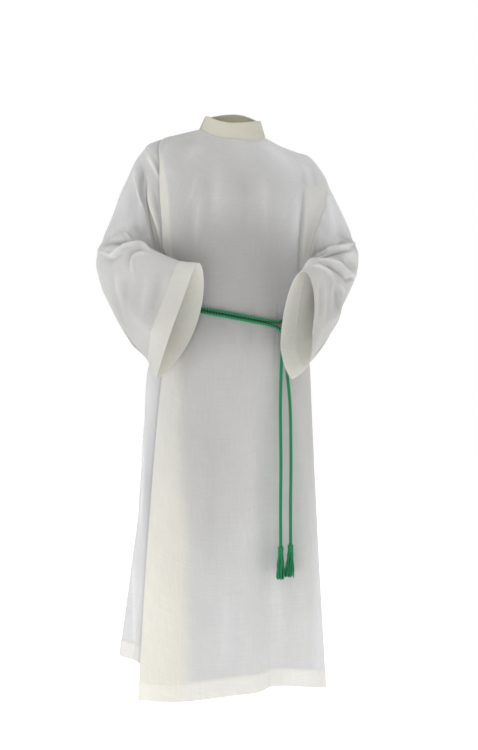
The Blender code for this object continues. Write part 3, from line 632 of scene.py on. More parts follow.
def finishPanel(
    name, node, base, normals, toHem, toSewn, creases, layers, paintedLight, seam, seed, doubled=0, shadow=0,
):
    lift = softUneven(base, *panels["uneven"], seed)
    for group, facing in creases:
        lift = lift + creaseLift(base, normals, group, facing)
    belt = panels["belt"]
    atBelt = bell(base[..., 2] + belt["z"] + belt["slope"] * base[..., 0], belt["reach"])
    # nothing stands out where two pieces are sewn together
    lift = lift * (1 - belt["flat"] * atBelt) * ramp(0.0, panels["flatAtSeam"], toSewn)
    shown = lift + creaseLift(base, normals, seamCreases, "front")
    inHem, stitched = hemBand(toHem, panels["hemDepth"])
    raised = np.maximum(inHem, doubled) * panels["hemStep"] - panels["stitchPull"][0] * stitched
    points = base + normals * (shown + seamEase(base, toSewn) + raised)[..., None]
    # painted light and shade: the hem painted paler, and the shading follows how far the creases stand out,
    # together with the painted shadow passed in
    marks = {
        "layers": np.clip(np.maximum(layers, panels["hemLayers"] * inHem), 0, 1),
        "paintedLight": np.clip(paintedLight + inHem, 0, 1),
        "seam": np.clip(seam + panels["stitchShade"] * stitched, 0, 1),
        "fold": np.clip(shown / foldDepth + shadow + panels["paintedHemLight"] * inHem, *foldMarks),
    }
    piece = clothPiece(name, points, marks, panels["thickness"])
    hemRow = lineAcross(points, gridNormals(points, False), toHem, panels["hemDepth"] - panels["stitchIn"])
    sewPiece(piece, node, [hemRow])


stitches = {
    "pitch": 0.0042,
    "length": 0.0031,
    "radius": 0.0003,
    "proud": 0.0001,
    "sides": 6,
    "ends": ((0.0, 0.35), (0.16, 0.9), (0.84, 0.9), (1.0, 0.35)),  # shares of the length and the radius
    "thread": "#E4E1D3",
    "twistScale": 900.0,
    "twistShade": (0.90, 1.04),
    "relief": (0.4, 0.0001),
}


def threadMaterial(name):
    # Spun polyester sewing thread: matt, with a fine twist.
    material, tree, shader = newMaterial(name, {"Roughness": 0.8})
    place = addNode(tree, "TexCoord").outputs["Object"]
    twist = addNode(tree, "TexNoise", {}, {
        "Vector": place, "Scale": stitches["twistScale"], "Detail": 2.0,
    }).outputs["Fac"]
    darkest, palest = stitches["twistShade"]
    shade = addNode(tree, "MapRange", {}, {
        "Value": twist, "From Min": 0.3, "From Max": 0.7, "To Min": darkest, "To Max": palest,
    }).outputs["Result"]
    toned = addNode(tree, "VectorMath", {"operation": "SCALE"}, {
        "Vector": linear(stitches["thread"])[:3], "Scale": shade,
    }).outputs["Vector"]
    linkSurface(tree, shader, toned, twist, stitches["relief"])
    return material


sewingThread = threadMaterial("spunSewingThread")


def stitchRows(name, rows):
    # Each row is a line of points on the cloth with the way that the cloth faces there.
    points, faces, sides = [], [], stitches["sides"]
    angle = 2 * np.pi * np.arange(sides)[:, None] / sides
    along, thick = np.array(stitches["ends"]).T
    radius = stitches["radius"] * thick[:, None, None]
    for line, facing in rows:
        run = runAlong(line)
        for begin in np.arange(stitches["pitch"] / 2, run[-1] - stitches["length"], stitches["pitch"]):
            middle = pointsAt(line, run, begin + stitches["length"] * along)
            out = unit(pointsAt(facing, run, begin))
            across = unit(np.cross(unit(middle[-1] - middle[0]), out))
            ring = (across * np.cos(angle) + out * np.sin(angle)) * radius
            faces += tubeFaces(len(points), len(along), sides)
            points.extend((middle[:, None] + out * stitches["proud"] + ring).reshape(-1, 3).tolist())
    return newPiece(name, points, faces, (sewingThread,))


def lineAcross(points, normals, field, value, closed=False):
    # The line where a field that grows up each column passes a value.
    both = np.concatenate([points, normals], axis=-1)[::-1]
    places = [pointsAt(both[:, column], run, value) for column, run in enumerate(field[::-1].T)]
    rows = ringed(np.array(places)[None], closed)[0]
    return rows[:, :3], rows[:, 3:]


def sewPiece(piece, node, rows):
    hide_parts(node)
    sewnOn = stitchRows(piece.name.replace("Cloth", "Stitches"), rows)


# Painted light: one layer is painted palest at the shoulders, the sides and towards the hem.
paintedPaleness = {
    "shoulders": 0.8,
    "acrossShoulders": (0.20, 1.3),  # at the wearer's right, and how much more at the left
    "hem": 0.55,
    "right": 0.6,
    "left": 0.65,
    "back": 0.35,
}


def paintedLightOf(points):
    x, y, z = points[..., 0], points[..., 1], points[..., 2]
    atRight, more = paintedPaleness["acrossShoulders"]
    up = ramp(-0.16, 0.02, z) * (atRight + more * ramp(-0.06, 0.13, x))
    low = paintedPaleness["hem"] * ramp(-0.55, -1.30, z)
    rightSide = paintedPaleness["right"] * ramp(-0.115, -0.205, x)
    leftSide = paintedPaleness["left"] * ramp(0.06, 0.17, x) * ramp(-0.62, -0.35, z)
    leftSide = leftSide + ramp(0.19, 0.24, x) * ramp(-0.60, -0.90, z)
    behind = paintedPaleness["back"] * ramp(0.0, 0.1, y)
    return np.clip(paintedPaleness["shoulders"] * up + low + rightSide + leftSide + behind, 0, 1)


outerFront = {
    "columns": 140,
    "facingSoft": (0.004, 0.022),  # how softly the facing ends at the chest, and how much more low down
    "facing": (0.66, -0.24, 0.56),  # how clearly it shows at the chest, then the changes at waist and skirt
    "besideArm": 0.42,
    "shoulder": (0.024, 0.010),  # the doubled band: it fades out and is full this far from the seam
    "shoulderLayers": 0.62,
    # less painted light on the doubled band at the shoulder
    "shoulderPaintedLight": -0.35,
    "edge": 0.0018,  # the free edge's line
    "seamShade": (0.2, 0.1),  # at the seam and at the free edge
    "paintedWaistShade": -1.2,
    "glow": (0.5, 0.4, 0.100, 0.035),  # painted light near the hem: all across, and more at this place and width
    "seed": 3.0,
}
panelRows = 318


def freeEdgeAt(level):
    return spline(bodyRings["freeEdge"], level)


def sideSeamAt(level):
    return spline(bodyRings["sideSeam"], level)


def makeOuterFront():
    look = outerFront
    base, normals, levels, turns, toHem, fromLeft, fromRight = panelGrid(
        freeEdgeAt, lambda level: 90 - armholeFront[1] * armholeCut(level), bodyFolds + overFolds, lapAt,
        sewn=(False, True), columns=look["columns"], rows=panelRows, evenAt=0,
    )
    base[..., 2] -= hemDrop["corner"] * ramp(15, hem, levels) * np.exp(-fromLeft / hemDrop["cornerLength"])
    flat = asSeen(base, "front")
    x, z = flat[..., 0], flat[..., 1]
    end = xOfLine(flat, facingEnd)
    fade = look["facingSoft"][0] + look["facingSoft"][1] * ramp(-0.35, -0.9, z)
    chest, atWaist, low = look["facing"]
    strength = chest + atWaist * ramp(-0.42, -0.56, z) + low * ramp(-0.62, -1.05, z)
    facing = ramp(end + fade, end - fade, x) * strength * ramp(-0.030, -0.075, z)
    arm = xOfLine(flat, armLine)
    besideArm = ramp(arm - 0.003, arm + 0.009, x) * ramp(-0.095, -0.150, z)
    besideArm = besideArm * ramp(-0.42, -0.36, z) * ramp(95, 85, turns)
    shoulderBand = ramp(*look["shoulder"], fromRight) * ramp(4.4, 5.4, levels) * ramp(10.5, 9.5, levels)
    atSeam, atEdge = look["seamShade"]
    # painted shade: greyest where it lies against the waist in front
    paintedWaistShade = ramp(-0.17, -0.27, base[..., 2]) * ramp(-0.60, -0.47, base[..., 2])
    paintedWaistShade = paintedWaistShade * ramp(0.17, 0.08, np.abs(base[..., 0]))
    # and painted light: palest low down, where the light comes through from below
    nearHem = ramp(-0.85, -1.25, base[..., 2])
    across, more, moreX, moreWidth = look["glow"]
    finishPanel(
        "outerFrontCloth", "front_over", base, normals, toHem, toSewn=fromRight,
        creases=((frontCreases, "front"),),
        layers=np.max([
            facing, look["besideArm"] * besideArm, look["shoulderLayers"] * shoulderBand,
        ], axis=0),
        paintedLight=paintedLightOf(base) + look["shoulderPaintedLight"] * shoulderBand,
        seam=atSeam * bell(fromRight, panels["seamShows"]) + atEdge * bell(fromLeft, look["edge"]),
        doubled=ramp(0.0005, 0.012, fromLeft) * facing,
        shadow=across * nearHem + more * nearHem * bell(x - moreX, moreWidth) + look["paintedWaistShade"] * paintedWaistShade,
        seed=look["seed"],
    )


innerFront = {
    "columns": 76,
    "under": -0.004,  # how far it lies below the outer front
    "shoulder": (0.016, 0.004),
    "shoulderLayers": 0.4,
    "pale": (0.85, 0.0045),  # how strong and how wide the pale lines are
    "paintedLight": (-0.2, 0.45),  # painted light at the chest, and the change below the belt
    "seamShade": 0.2,
    "edgeShadow": (-1.5, 0.0045),  # painted shadow close beside the outer front's edge
    "wideShadow": (-0.6, 0.032, 0.010),  # softer painted shadow, from where it fades out to where it is full
    "seed": 3.0,
}


def makeInnerFront():
    look = innerFront
    base, normals, levels, _, toHem, fromLeft, _ = panelGrid(
        lambda level: sideSeamAt(level) + armholeFront[-1] * armholeCut(level), lambda level: 0 * level,
        bodyFolds + underFolds, lambda turn: look["under"] * ramp(-30, 0, turn),
        sewn=(True, False), columns=look["columns"], rows=panelRows, evenAt=-40,
    )
    shoulderBand = ramp(*look["shoulder"], fromLeft) * ramp(4, 4.6, levels) * ramp(10.5, 9.5, levels)
    strength, width = look["pale"]
    pale = strength * np.max([bell(distanceTo(base, line), width) for line in paleLines], axis=0)
    # painted shadow where the outer front's free edge shades it
    down = np.linspace(neck, hem, 200)
    edge = bodyPoint(freeEdgeAt(down), down, bodyFolds + overFolds)
    edge = edge + lap * bodyNormal(freeEdgeAt(down), down, bodyFolds + overFolds)
    flat = asSeen(base, "front")
    past = xOfLine(flat, asSeen(edge, "front")) - flat[..., 0]
    close, closeWidth = look["edgeShadow"]
    wide, fadesOut, isFull = look["wideShadow"]
    atChest, low = look["paintedLight"]
    finishPanel(
        "innerFrontCloth", "front_under", base, normals, toHem, toSewn=fromLeft,
        creases=((frontCreases, "front"), (underCreases, "front")),
        layers=np.maximum(look["shoulderLayers"] * shoulderBand, pale),
        paintedLight=paintedLightOf(base) + atChest + low * ramp(-0.45, -0.60, base[..., 2]),
        seam=look["seamShade"] * bell(fromLeft, panels["seamShows"]),
        shadow=close * bell(np.maximum(past, 0), closeWidth) + wide * ramp(fadesOut, isFull, past),
        seed=look["seed"],
    )


# the back gets a little more painted light all over
backLook = {"columns": 110, "rows": 262, "paintedLight": 0.2, "seamShade": 0.4, "seed": 7.0}


def makeBack():
    base, normals, _, _, toHem, fromLeft, fromRight = panelGrid(
        lambda level: 90 + armholeBack * armholeCut(level),
        lambda level: 360 + sideSeamAt(level) - armholeBack * armholeCut(level),
        bodyFolds, lambda turn: 0 * turn,
        sewn=(True, True), columns=backLook["columns"], rows=backLook["rows"], evenAt=180,
    )
    seams = bell(fromLeft, panels["seamShows"]) + bell(fromRight, panels["seamShows"])
    finishPanel(
        "backCloth", "back", base, normals, toHem, toSewn=np.minimum(fromLeft, fromRight),
        creases=((backCreases, "back"), (underCreases, "front")),
        layers=0, paintedLight=paintedLightOf(base) + backLook["paintedLight"], seam=backLook["seamShade"] * seams,
        seed=backLook["seed"],
    )


makeOuterFront()
makeInnerFront()
makeBack()
print("body panels made")


rightSleeve = {
    "side": -1,
    "cuffPinch": (0.85, 0.45),  # at the lowest edge: on the outer side and on the inner side
    "lowerShade": -0.9,
    "cuffLayers": 0.55,
    # hollows that little light reaches, painted greyer: route, half width, how grey, and where they fade
    "hollows": (
        ((-309, -280), (-288.8, -272.5), (-271.3, -269.5), (-253, -269), 4.4, -1.9, 0.5, 0.2),
        ((-260, -240), (-252.5, -257), (-243, -269), 4.8, -1.2, 0.4, 0.2),
        ((-238.8, -248), (-223, -265), (-208, -283), 4.5, -0.6, 0.3, 0.3),
        ((-190.5, -208), (-180, -245), (-171.5, -299), 2.6, -1.2, 0.2, 0.1),
    ),
    # front, outer side, back and inner side of each ring from the armhole to the cuff
    "rings": (
        ((-214, -108, -218), (-243, -18, -80), (-236, 50, -210), (-198, -20, -340)),
        ((-226, -116, -238), (-288, -24, -191), (-268, 54, -240), (-208, -30, -354)),
        ((-238, -120, -262), (-319, -50, -290), (-312, 18, -325), (-212, -44, -380)),
        ((-232, -130, -281), (-300, -115, -335), (-310, -35, -395), (-213, -68, -402)),
        ((-212, -150, -290), (-262, -170, -385), (-280, -90, -460), (-202, -100, -425)),
        ((-169, -185, -313), (-214, -212, -430), (-241, -130, -522), (-172, -138, -455)),
        ((-120, -210, -334), (-163, -238, -455), (-206, -155, -558.5), (-128, -152, -478)),
        ((-72.5, -232, -343), (-123, -255, -458), (-176, -180, -610), (-86, -158, -490)),
    ),
    # folds: ring and angle round the arm where each starts and ends, half width, rise
    "folds": (
        (2.75, 105, 2.9, 8, 14, -7), (3.3, 100, 3.35, 0, 16, 4), (0.4, 55, 2.3, -12, 15, -6),
        (5.9, 160, 3.9, 70, 18, -6),
        # behind the elbow and under the forearm
        (2.2, 150, 2.6, 200, 10, 5), (2.8, 140, 3.2, 215, 10, -5), (3.4, 150, 3.9, 220, 11, 5),
        (1.0, 120, 2.3, 175, 14, -4), (1.2, 190, 2.9, 235, 12, 4), (4.6, 185, 7.2, 205, 14, 4),
        (4.2, 250, 6.6, 255, 14, -4), (5.0, 100, 7.4, 120, 16, 3),
    ),
    "creases": (
        # the rim, the hollow and the roll at the elbow
        ((-321.2, -262.5), (-301.2, -242.5), (-291.2, -236.5), 5, 2.2, 0.3, 0.4),
        ((-324, -281), (-308.7, -273.3), (-288.8, -270.5), (-268.7, -274.5), 6.6, -10, 0.35, 0.2),
        ((-298.8, -292.5), (-277.5, -276.2), (-258.8, -270), (-238.8, -269), 3, -8.5, 0.3, 0.3),
        ((-330, -270), (-337, -285), (-336, -305), 9, 4, 0.3, 0.4),
        ((-264, -242.5), (-261.2, -252.5), (-255, -260.5), (-242.5, -272.5), 2.8, 4.8, 0.4, 0.3),
        ((-353.8, -282.5), (-305.5, -300.8), (-294.8, -297.2), (-284, -286.5), (-269.7, -277.5),
         (-252, -274), (-227, -274), (-209, -286.5), (-195, -297.5), 3.6, 7.8, 0.2, 0.2),
        ((-321.2, -310), (-301.2, -312.5), (-283.8, -303.8), (-266.2, -292.5), 6, -4.7, 0.4, 0.4),
        ((-198.5, -297.2), (-219.8, -297.2), (-237.7, -300.8), (-246.5, -311.5), (-246.5, -332.8),
         (-243.7, -355), (-236.2, -385), 3.8, 5.7, 0.2, 0.5),
        ((-203.7, -291.2), (-226.3, -287.5), (-245, -292.5), (-256.2, -307.5), (-257.5, -330),
         (-255, -355), 4.5, -6.1, 0.3, 0.5),
        ((-251.2, -225), (-228.7, -242.5), (-211.2, -262.5), 11, -5, 0.4, 0.3),
        # long soft folds of the forearm and of the upper arm
        ((-208.7, -325), (-211.2, -377.5), (-221.3, -427.5), (-236.2, -477.5), 10, 4.1, 0.4, 0.5),
        ((-178.7, -330), (-183.7, -377.5), (-196.2, -427.5), (-211.2, -477.5), 9, -4.1, 0.4, 0.5),
        ((-153.7, -335), (-163.7, -377.5), (-176.2, -422.5), 8, 3.2, 0.4, 0.5),
        ((-283.8, -327.5), (-286.3, -377.5), (-278.7, -427.5), 9, 4.1, 0.4, 0.5),
        ((-263.7, -345), (-266.2, -395), (-258.7, -452.5), 8, -3.8, 0.4, 0.5),
        ((-268.7, -95), (-276.2, -152.5), (-286.3, -215), 11, 2.2, 0.4, 0.5),
        ((-251.2, -115), (-253.7, -177.5), (-263.7, -230), 9, -4.3, 0.4, 0.5),
        # the fold pressed beside the armhole seam, and the hollow between them
        ((-241.2, -67.5), (-240, -115), (-232.5, -152.5), (-218, -190), (-203.7, -254.2),
         (-193.7, -295), 4.2, 6.8, 0.2, 0.2),
        ((-226.3, -60), (-225.5, -115), (-218.8, -165), (-206.2, -227.5), (-193.7, -282.5),
         5, -8.1, 0.2, 0.2),
    ),
}
leftSleeve = {
    "side": 1,
    "cuffPinch": (-1.6, 0.85),
    "lowerShade": -0.9,
    "cuffLayers": 0.15,
    "hollows": (
        ((295, -288), (265, -294), (238, -303), (218, -313), 4, -0.9, 0.3, 0.3),
        ((231, -329), (252, -334.5), (270, -347), (285, -362), 4, -0.8, 0.3, 0.4),
        ((261, -370), (260, -400), (262, -440), 5, -0.5, 0.3, 0.5),
    ),
    "rings": (
        ((224, -60, -238), (250, 24, -141), (222, 98, -225), (202, 22, -345)),
        ((238, -74, -252), (284, 12, -212), (252, 96, -250), (214, 6, -360)),
        ((250, -98, -276), (307, -24, -280), (292, 45, -318), (219, -30, -384)),
        ((245, -118, -290), (306.5, -70, -330), (284, 0, -385), (219, -60, -404)),
        ((235, -140, -306), (274, -115, -385), (262, -60, -445), (206, -98, -428)),
        ((215, -172, -320), (256, -155, -428), (231, -118, -512), (185, -135, -460)),
        ((188, -205, -336), (229, -190, -440), (192, -160, -565), (148, -158, -490)),
        ((163, -232, -361.5), (194, -225, -469), (144, -200, -612), (119, -176, -505)),
    ),
    "folds": (
        (2.7, 105, 3.1, 15, 14, -11), (3.2, 100, 4.6, 20, 15, 7), (3.9, 100, 4.9, 35, 13, -8),
        (0.5, 50, 2.2, -8, 13, -8), (6.0, 165, 4.2, 75, 18, -5), (2.1, 140, 2.5, 195, 10, 5),
        (2.7, 150, 3.3, 220, 10, -5), (3.5, 135, 4.1, 205, 11, 4), (0.9, 115, 2.2, 165, 14, -4),
        (1.4, 195, 3.0, 240, 12, 4), (4.8, 180, 7.3, 200, 14, 4), (4.4, 255, 6.8, 250, 14, -4),
        (5.2, 95, 7.4, 115, 16, 3),
    ),
    "creases": (
        # the sharp edge over the forearm, with hollows above and below it
        ((333.7, -267.5), (283.8, -278.7), (252.5, -287), (231.3, -296.2), (212, -307.2),
         (190, -327.5), (173.8, -342.5), 4.2, 9.2, 0.16, 0.3),
        ((301.3, -266.3), (271.2, -273.7), (241.3, -282.5), (216.3, -295), (198.7, -310),
         5, -6.6, 0.2, 0.3),
        ((301.3, -288.8), (271.2, -295), (241.3, -303.8), (218.8, -312.5), 4, -6.8, 0.2, 0.3),
        # thin ridges that fan out from the elbow
        ((275, -296.2), (283.8, -310), (293.8, -320), (318.7, -335), 3.2, 6.2, 0.3, 0.55),
        ((338, -280), (340, -305), (339, -345), 12, -5.5, 0.3, 0.3),
        ((201.3, -323.8), (216.3, -317.5), (236.3, -313.2), (265, -318.8), (286.3, -332.5),
         (330, -369), 3.6, 7.4, 0.3, 0.3),
        ((221.3, -325), (246.3, -330), (266.2, -341.2), (283.8, -357.5), (296.3, -372.5),
         4.8, -8.4, 0.3, 0.4),
        ((193.7, -330), (211.3, -327.5), (230.8, -333.8), (246.3, -346.3), (252.5, -365),
         (249.5, -392.5), (248.8, -440), (252.5, -480), 3.6, 6.5, 0.2, 0.4),
        ((270, -357.5), (273.8, -377.5), (281.2, -390), (288.8, -398.7), 3.2, 4.9, 0.3, 0.3),
        ((280, -366.3), (296.3, -363.7), (308.8, -358.7), 4, -5.4, 0.3, 0.2),
        ((262.5, -375), (263.8, -415), (266.2, -465), 6, -4.3, 0.3, 0.5),
        # long soft folds of the forearm and of the upper arm
        ((211.3, -352.5), (212, -415), (209.5, -475), 4.2, 3, 0.3, 0.4),
        ((220.8, -360), (222, -415), (220.3, -475), 4.2, -3, 0.3, 0.4),
        ((231.3, -375), (232.2, -420), (231, -475), 4.2, 2.7, 0.3, 0.4),
        ((276.2, -415), (266.2, -465), (248.8, -520), 9, 3.8, 0.4, 0.5),
        ((236.3, -130), (248.8, -177.5), (268.8, -235), 9, 4.3, 0.4, 0.5),
        ((216.3, -180), (223.8, -220), (243.8, -265), 9, -4.6, 0.4, 0.5),
    ),
}
sleeves = {
    "right": rightSleeve,
    "left": leftSleeve,
    "lowEdgePinch": 0.85,
    "cell": 0.0029,
    "pointsRound": 216,
    "cuffDepth": 0.050,
    "flatAtSeam": 0.009,
    "facesSeam": 0.03,  # the cloth turns from the body's way to its own over this length
    "uneven": (0.07, 0.0010),
    "cuffFlat": (0.03, 0.45),  # the cuff's edge is flatter over this length, by this share
    "foldShows": 0.4,  # the share of the large folds that the painted shading takes up
    "paintedLight": (0.30, 0.30, 0.60, -0.2),  # painted light: all over, on the upper arm, at its left, and below
    # painted light on the upper arm at its left
    "leftGlow": 0.5,
    "seamShows": (0.2, 0.0025),
    # painted light: the inner face beyond the cuff is mixed towards the creamy colour as light comes
    # through it
    "inside": 0.55,
}


def armholeEdge(side, around):
    around = (around + 90) % 360 - 90
    inFront = around <= 90
    climb = np.where(inFront, (around + 90) / 180, (270 - around) / 180)
    level = armpit + (shoulderTip - armpit) * climb
    cut = armholeCut(level)
    turn = side * np.where(inFront, 90 - armholeFront[side] * cut, 90 + armholeBack * cut)
    return bodyPoint(turn, level, ()), bodyNormal(turn, level, ())


def sleevePoint(sleeve, position, around):
    # Position runs from 0 at the armhole to 8 at the cuff; around is 0 in front, 90 outside.
    position, around = np.broadcast_arrays(np.asarray(position, float), np.asarray(around, float))
    knots = [armholeEdge(sleeve["side"], around)[0]]
    angle = np.radians(around)[..., None]
    sine, cosine = np.sin(angle), np.cos(angle)
    for number, ring in enumerate(sleeve["rings"], 1):
        front, outer, behind, inner = mm * np.array(ring)
        # the lowest edge lies nearly flat, so it comes to a point there
        pinch = sleeves["lowEdgePinch"] * ramp(3, 7, number)
        if number == len(sleeve["rings"]):
            pinch = np.where(sine > 0, *sleeve["cuffPinch"])
        pinch = pinch * ramp(0.0, -0.5, cosine)
        knots.append(
            (front + outer + behind + inner) / 4
            + (front - behind) / 2 * cosine
            + (outer - inner) / 2 * sine * (1 - pinch * (1 - np.abs(sine)))
            + (front + behind - outer - inner) / 4 * np.cos(2 * angle)
        )
    stack = np.stack([2 * knots[0] - knots[1], *knots, 2 * knots[-1] - knots[-2]])
    first = np.clip(np.floor(position).astype(int), 0, len(sleeve["rings"]) - 1)
    around4 = (np.take_along_axis(stack, (first + step)[None, ..., None], axis=0)[0] for step in range(4))
    return blended(*around4, (position - first)[..., None])


def sleeveNormal(sleeve, position, around):
    along = sleevePoint(sleeve, position + 0.1, around) - sleevePoint(sleeve, position - 0.1, around)
    ahead = sleevePoint(sleeve, position, around + 2) - sleevePoint(sleeve, position, around - 2)
    return unit(np.cross(along, ahead)) * sleeve["side"]


def foldLift(points, normals, sleeve):
    lift = np.zeros(points.shape[:-1])
    share = np.linspace(0.0, 1.0, 24)
    for startAt, startRound, endAt, endRound, halfWidth, rise in sleeve["folds"]:
        position = startAt + (endAt - startAt) * share
        around = startRound + (endRound - startRound) * share
        path = sleevePoint(sleeve, position, around)
        pathNormal = sleeveNormal(sleeve, position, around)
        away = np.linalg.norm(points[..., None, :] - path, axis=-1)
        nearest = away.argmin(axis=-1)
        sameSide = (normals * pathNormal[nearest]).sum(axis=-1) > 0.2
        taper = np.sin(np.pi * np.clip(share[nearest], 0.04, 0.96)) ** 0.6
        lift += mm * rise * taper * sameSide * bell(away.min(axis=-1), mm * halfWidth)
    return lift


def makeSleeve(name):
    sleeve, count = sleeves[name], sleeves["pointsRound"]
    side = sleeve["side"]
    fine = np.linspace(0, len(sleeve["rings"]), 240)[:, None]
    sample = sleevePoint(sleeve, fine, np.arange(-90, 270, 30)[None, :])
    run = np.concatenate([[0.0], np.cumsum(stepsOf(sample).mean(axis=1))])
    rows = round(run[-1] / sleeves["cell"])
    positions = np.interp(np.linspace(0, run[-1], rows), run, fine[:, 0])[:, None]
    around = (-90 + 360 / count * np.arange(count))[None, ::side]
    base = sleevePoint(sleeve, positions, around)
    normals = sleeveNormal(sleeve, positions, around)
    fromSeam = np.concatenate([np.zeros((1, count)), np.cumsum(stepsOf(base), axis=0)])
    toCuff = fromSeam[-1:] - fromSeam
    # at the seam the cloth faces the same way as the body's
    ownShare = ramp(0.0, sleeves["facesSeam"], fromSeam)
    seamNormals = armholeEdge(side, around)[1]
    normals = unit(seamNormals * (1 - ownShare)[..., None] + normals * ownShare[..., None])
    edgeLength, flatter = sleeves["cuffFlat"]
    flat = 1 - flatter * ramp(edgeLength, 0, toCuff)
    folds = foldLift(base, normals, sleeve) * ramp(0, 0.5, positions)
    creased = creaseLift(base, normals, sleeve["creases"], "front")
    lift = folds + creased * ramp(0, sleeves["flatAtSeam"], fromSeam)
    lift = lift + softUneven(base, *sleeves["uneven"], 11.0 + side) * ownShare
    lift = lift + creaseLift(base, normals, seamCreases, "front") + seamEase(base, fromSeam)
    lift = lift * flat
    shown = lift - (1 - sleeves["foldShows"]) * folds - seamEase(base, fromSeam)
    x, z = base[..., 0], base[..., 2]
    # painted light and shade: paler on the upper arm, greyer low on the forearm and in the hollows
    lower, upper = ramp(-0.34, -0.46, z), ramp(-0.30, -0.20, z)
    shade = creaseRise(base, normals, sleeve["hollows"], "front") + sleeve["lowerShade"] * lower
    inCuff, stitched = hemBand(toCuff, sleeves["cuffDepth"])
    raised = inCuff * panels["hemStep"] - panels["stitchPull"][0] * stitched + inwardTuck(fromSeam)
    points = base + normals * (lift + raised)[..., None]
    allOver, onUpper, atLeft, below = sleeves["paintedLight"]
    seamShade, seamWidth = sleeves["seamShows"]
    glow = sleeves["leftGlow"] * ramp(0.20, 0.26, x) * upper
    paintedLight = allOver + onUpper * upper + atLeft * ramp(0.10, 0.25, x) * upper + below * lower
    marks = {
        "layers": np.clip(inCuff * sleeve["cuffLayers"], 0, 1),
        "paintedLight": np.clip(paintedLight, 0, 1),
        "seam": np.clip(seamShade * bell(fromSeam, seamWidth) + panels["stitchShade"] * stitched, 0, 1),
        "fold": np.clip(shown / foldDepth + shade + glow, *foldMarks),
        "inside": np.maximum(inCuff, sleeves["inside"]),
    }
    piece = clothPiece(name + "SleeveCloth", points, marks, panels["thickness"], closed=True)
    stitchedAt = sleeves["cuffDepth"] - panels["stitchIn"]
    row = lineAcross(points, gridNormals(points, True), toCuff, stitchedAt, closed=True)
    sewPiece(piece, "sleeve_wearer_" + name, [row])


for which in ("right", "left"):
    makeSleeve(which)
print("sleeves made")


collar = {
    "start": -104,
    "overlap": 20,
    "columns": 300,
    "rows": 15,
    "halfWidth": 0.0685,
    "frontDepth": 0.060,
    "backDepth": 0.062,
    "centreX": 0.005,
    "topZ": {"front": 0.018, "back": 0.060, "right": 0.0435, "left": 0.0305},
    "tall": 0.045,
    "proud": 0.0022,
    "raise": 0.0006,
    "onLap": (-118, -93),
    "stepOut": (35 / 43, 41 / 43),  # the share of its length over which the end climbs over the start
    "wall": 0.0022,
    "endGap": 0.0005,
    "uneven": (0.05, 0.0004),
    "roundedEdge": (0.0007, 0.0025),
    "stitchPull": (0.00035, 0.0013),
    "stitchRows": (0.0045, 0.0405),  # below the top edge
    # the whole collar is made a little darker through the same shading mark
    "fold": -0.3,
    "seamShade": (0.45, 0.1),  # all over, and at the rows
    "creases": (
        ((66, 15), (69, 8), (73, 0), 4, -1.6, 0.2, 0.4),
        ((-45, 35), (-43, 20), (-42, 8), 6, 1, 0.3, 0.4),
        ((25, 20), (24, 5), (20, -8), 7, -0.9, 0.3, 0.4),
    ),
}


def makeCollar():
    start, end = collar["start"], collar["start"] + 360 + collar["overlap"]
    turns = np.linspace(start, end, collar["columns"])[None, :]
    up = np.linspace(1.0, 0.0, collar["rows"])[:, None]
    neckLine = bodyPoint(turns, np.zeros_like(turns), ())
    normals = bodyNormal(turns, np.zeros_like(turns), ())
    outward = unit(normals * np.array([1.0, 1.0, 0.0]))
    wrapped = (turns + 180) % 360 - 180
    lift = lapAt(wrapped) * ramp(*collar["onLap"], wrapped) * normals[..., 2] + collar["raise"]
    bottom = neckLine + outward * collar["proud"] + np.array([0.0, 0.0, 1.0]) * lift[..., None]
    sine, cosine = np.sin(np.radians(turns)), np.cos(np.radians(turns))
    side = sine**2
    depth = np.where(cosine > 0, collar["frontDepth"], collar["backDepth"])
    height = collar["topZ"]
    topZ = side * np.where(sine < 0, height["right"], height["left"])
    topZ = topZ + (1 - side) * np.where(cosine > 0, height["front"], height["back"])
    top = np.stack([collar["centreX"] + collar["halfWidth"] * sine, -depth * cosine, topZ], axis=-1)
    stepOut = ramp(*collar["stepOut"], np.linspace(0, 1, collar["columns"]))[None, :, None]
    outer = bottom * (1 - up)[..., None] + top * up[..., None]
    outer = outer + outward * stepOut * (collar["wall"] + collar["endGap"])
    faceNormals = gridNormals(outer, False)
    faceNormals = faceNormals * np.sign((faceNormals * outward).sum(axis=-1, keepdims=True))
    fromEdge = np.minimum(up, 1 - up) * collar["tall"]
    # the turned edges are rounded, and the rows of stitching pull the cloth in
    roundedBy, edgeWidth = collar["roundedEdge"]
    pull, pullWidth = collar["stitchPull"]
    stitched = bell(fromEdge - collar["stitchRows"][0], pullWidth)
    lift = softUneven(outer, *collar["uneven"], 19.0) - roundedBy * ramp(edgeWidth, 0.0, fromEdge) ** 2
    lift = lift - pull * stitched + creaseLift(outer, faceNormals, collar["creases"], "front")
    points = outer + faceNormals * lift[..., None]
    allOver, atRows = collar["seamShade"]
    seam = np.clip(allOver + atRows * stitched, 0, 1)
    marks = {"layers": 1.0, "paintedLight": 1.0, "fold": collar["fold"], "seam": seam}
    piece = clothPiece("collarCloth", points, marks, collar["wall"])
    fromTop = (1 - up) * collar["tall"] + 0 * turns
    rows = [lineAcross(points, faceNormals, fromTop, below) for below in collar["stitchRows"]]
    sewPiece(piece, "collar", rows)


makeCollar()
print("collar made")


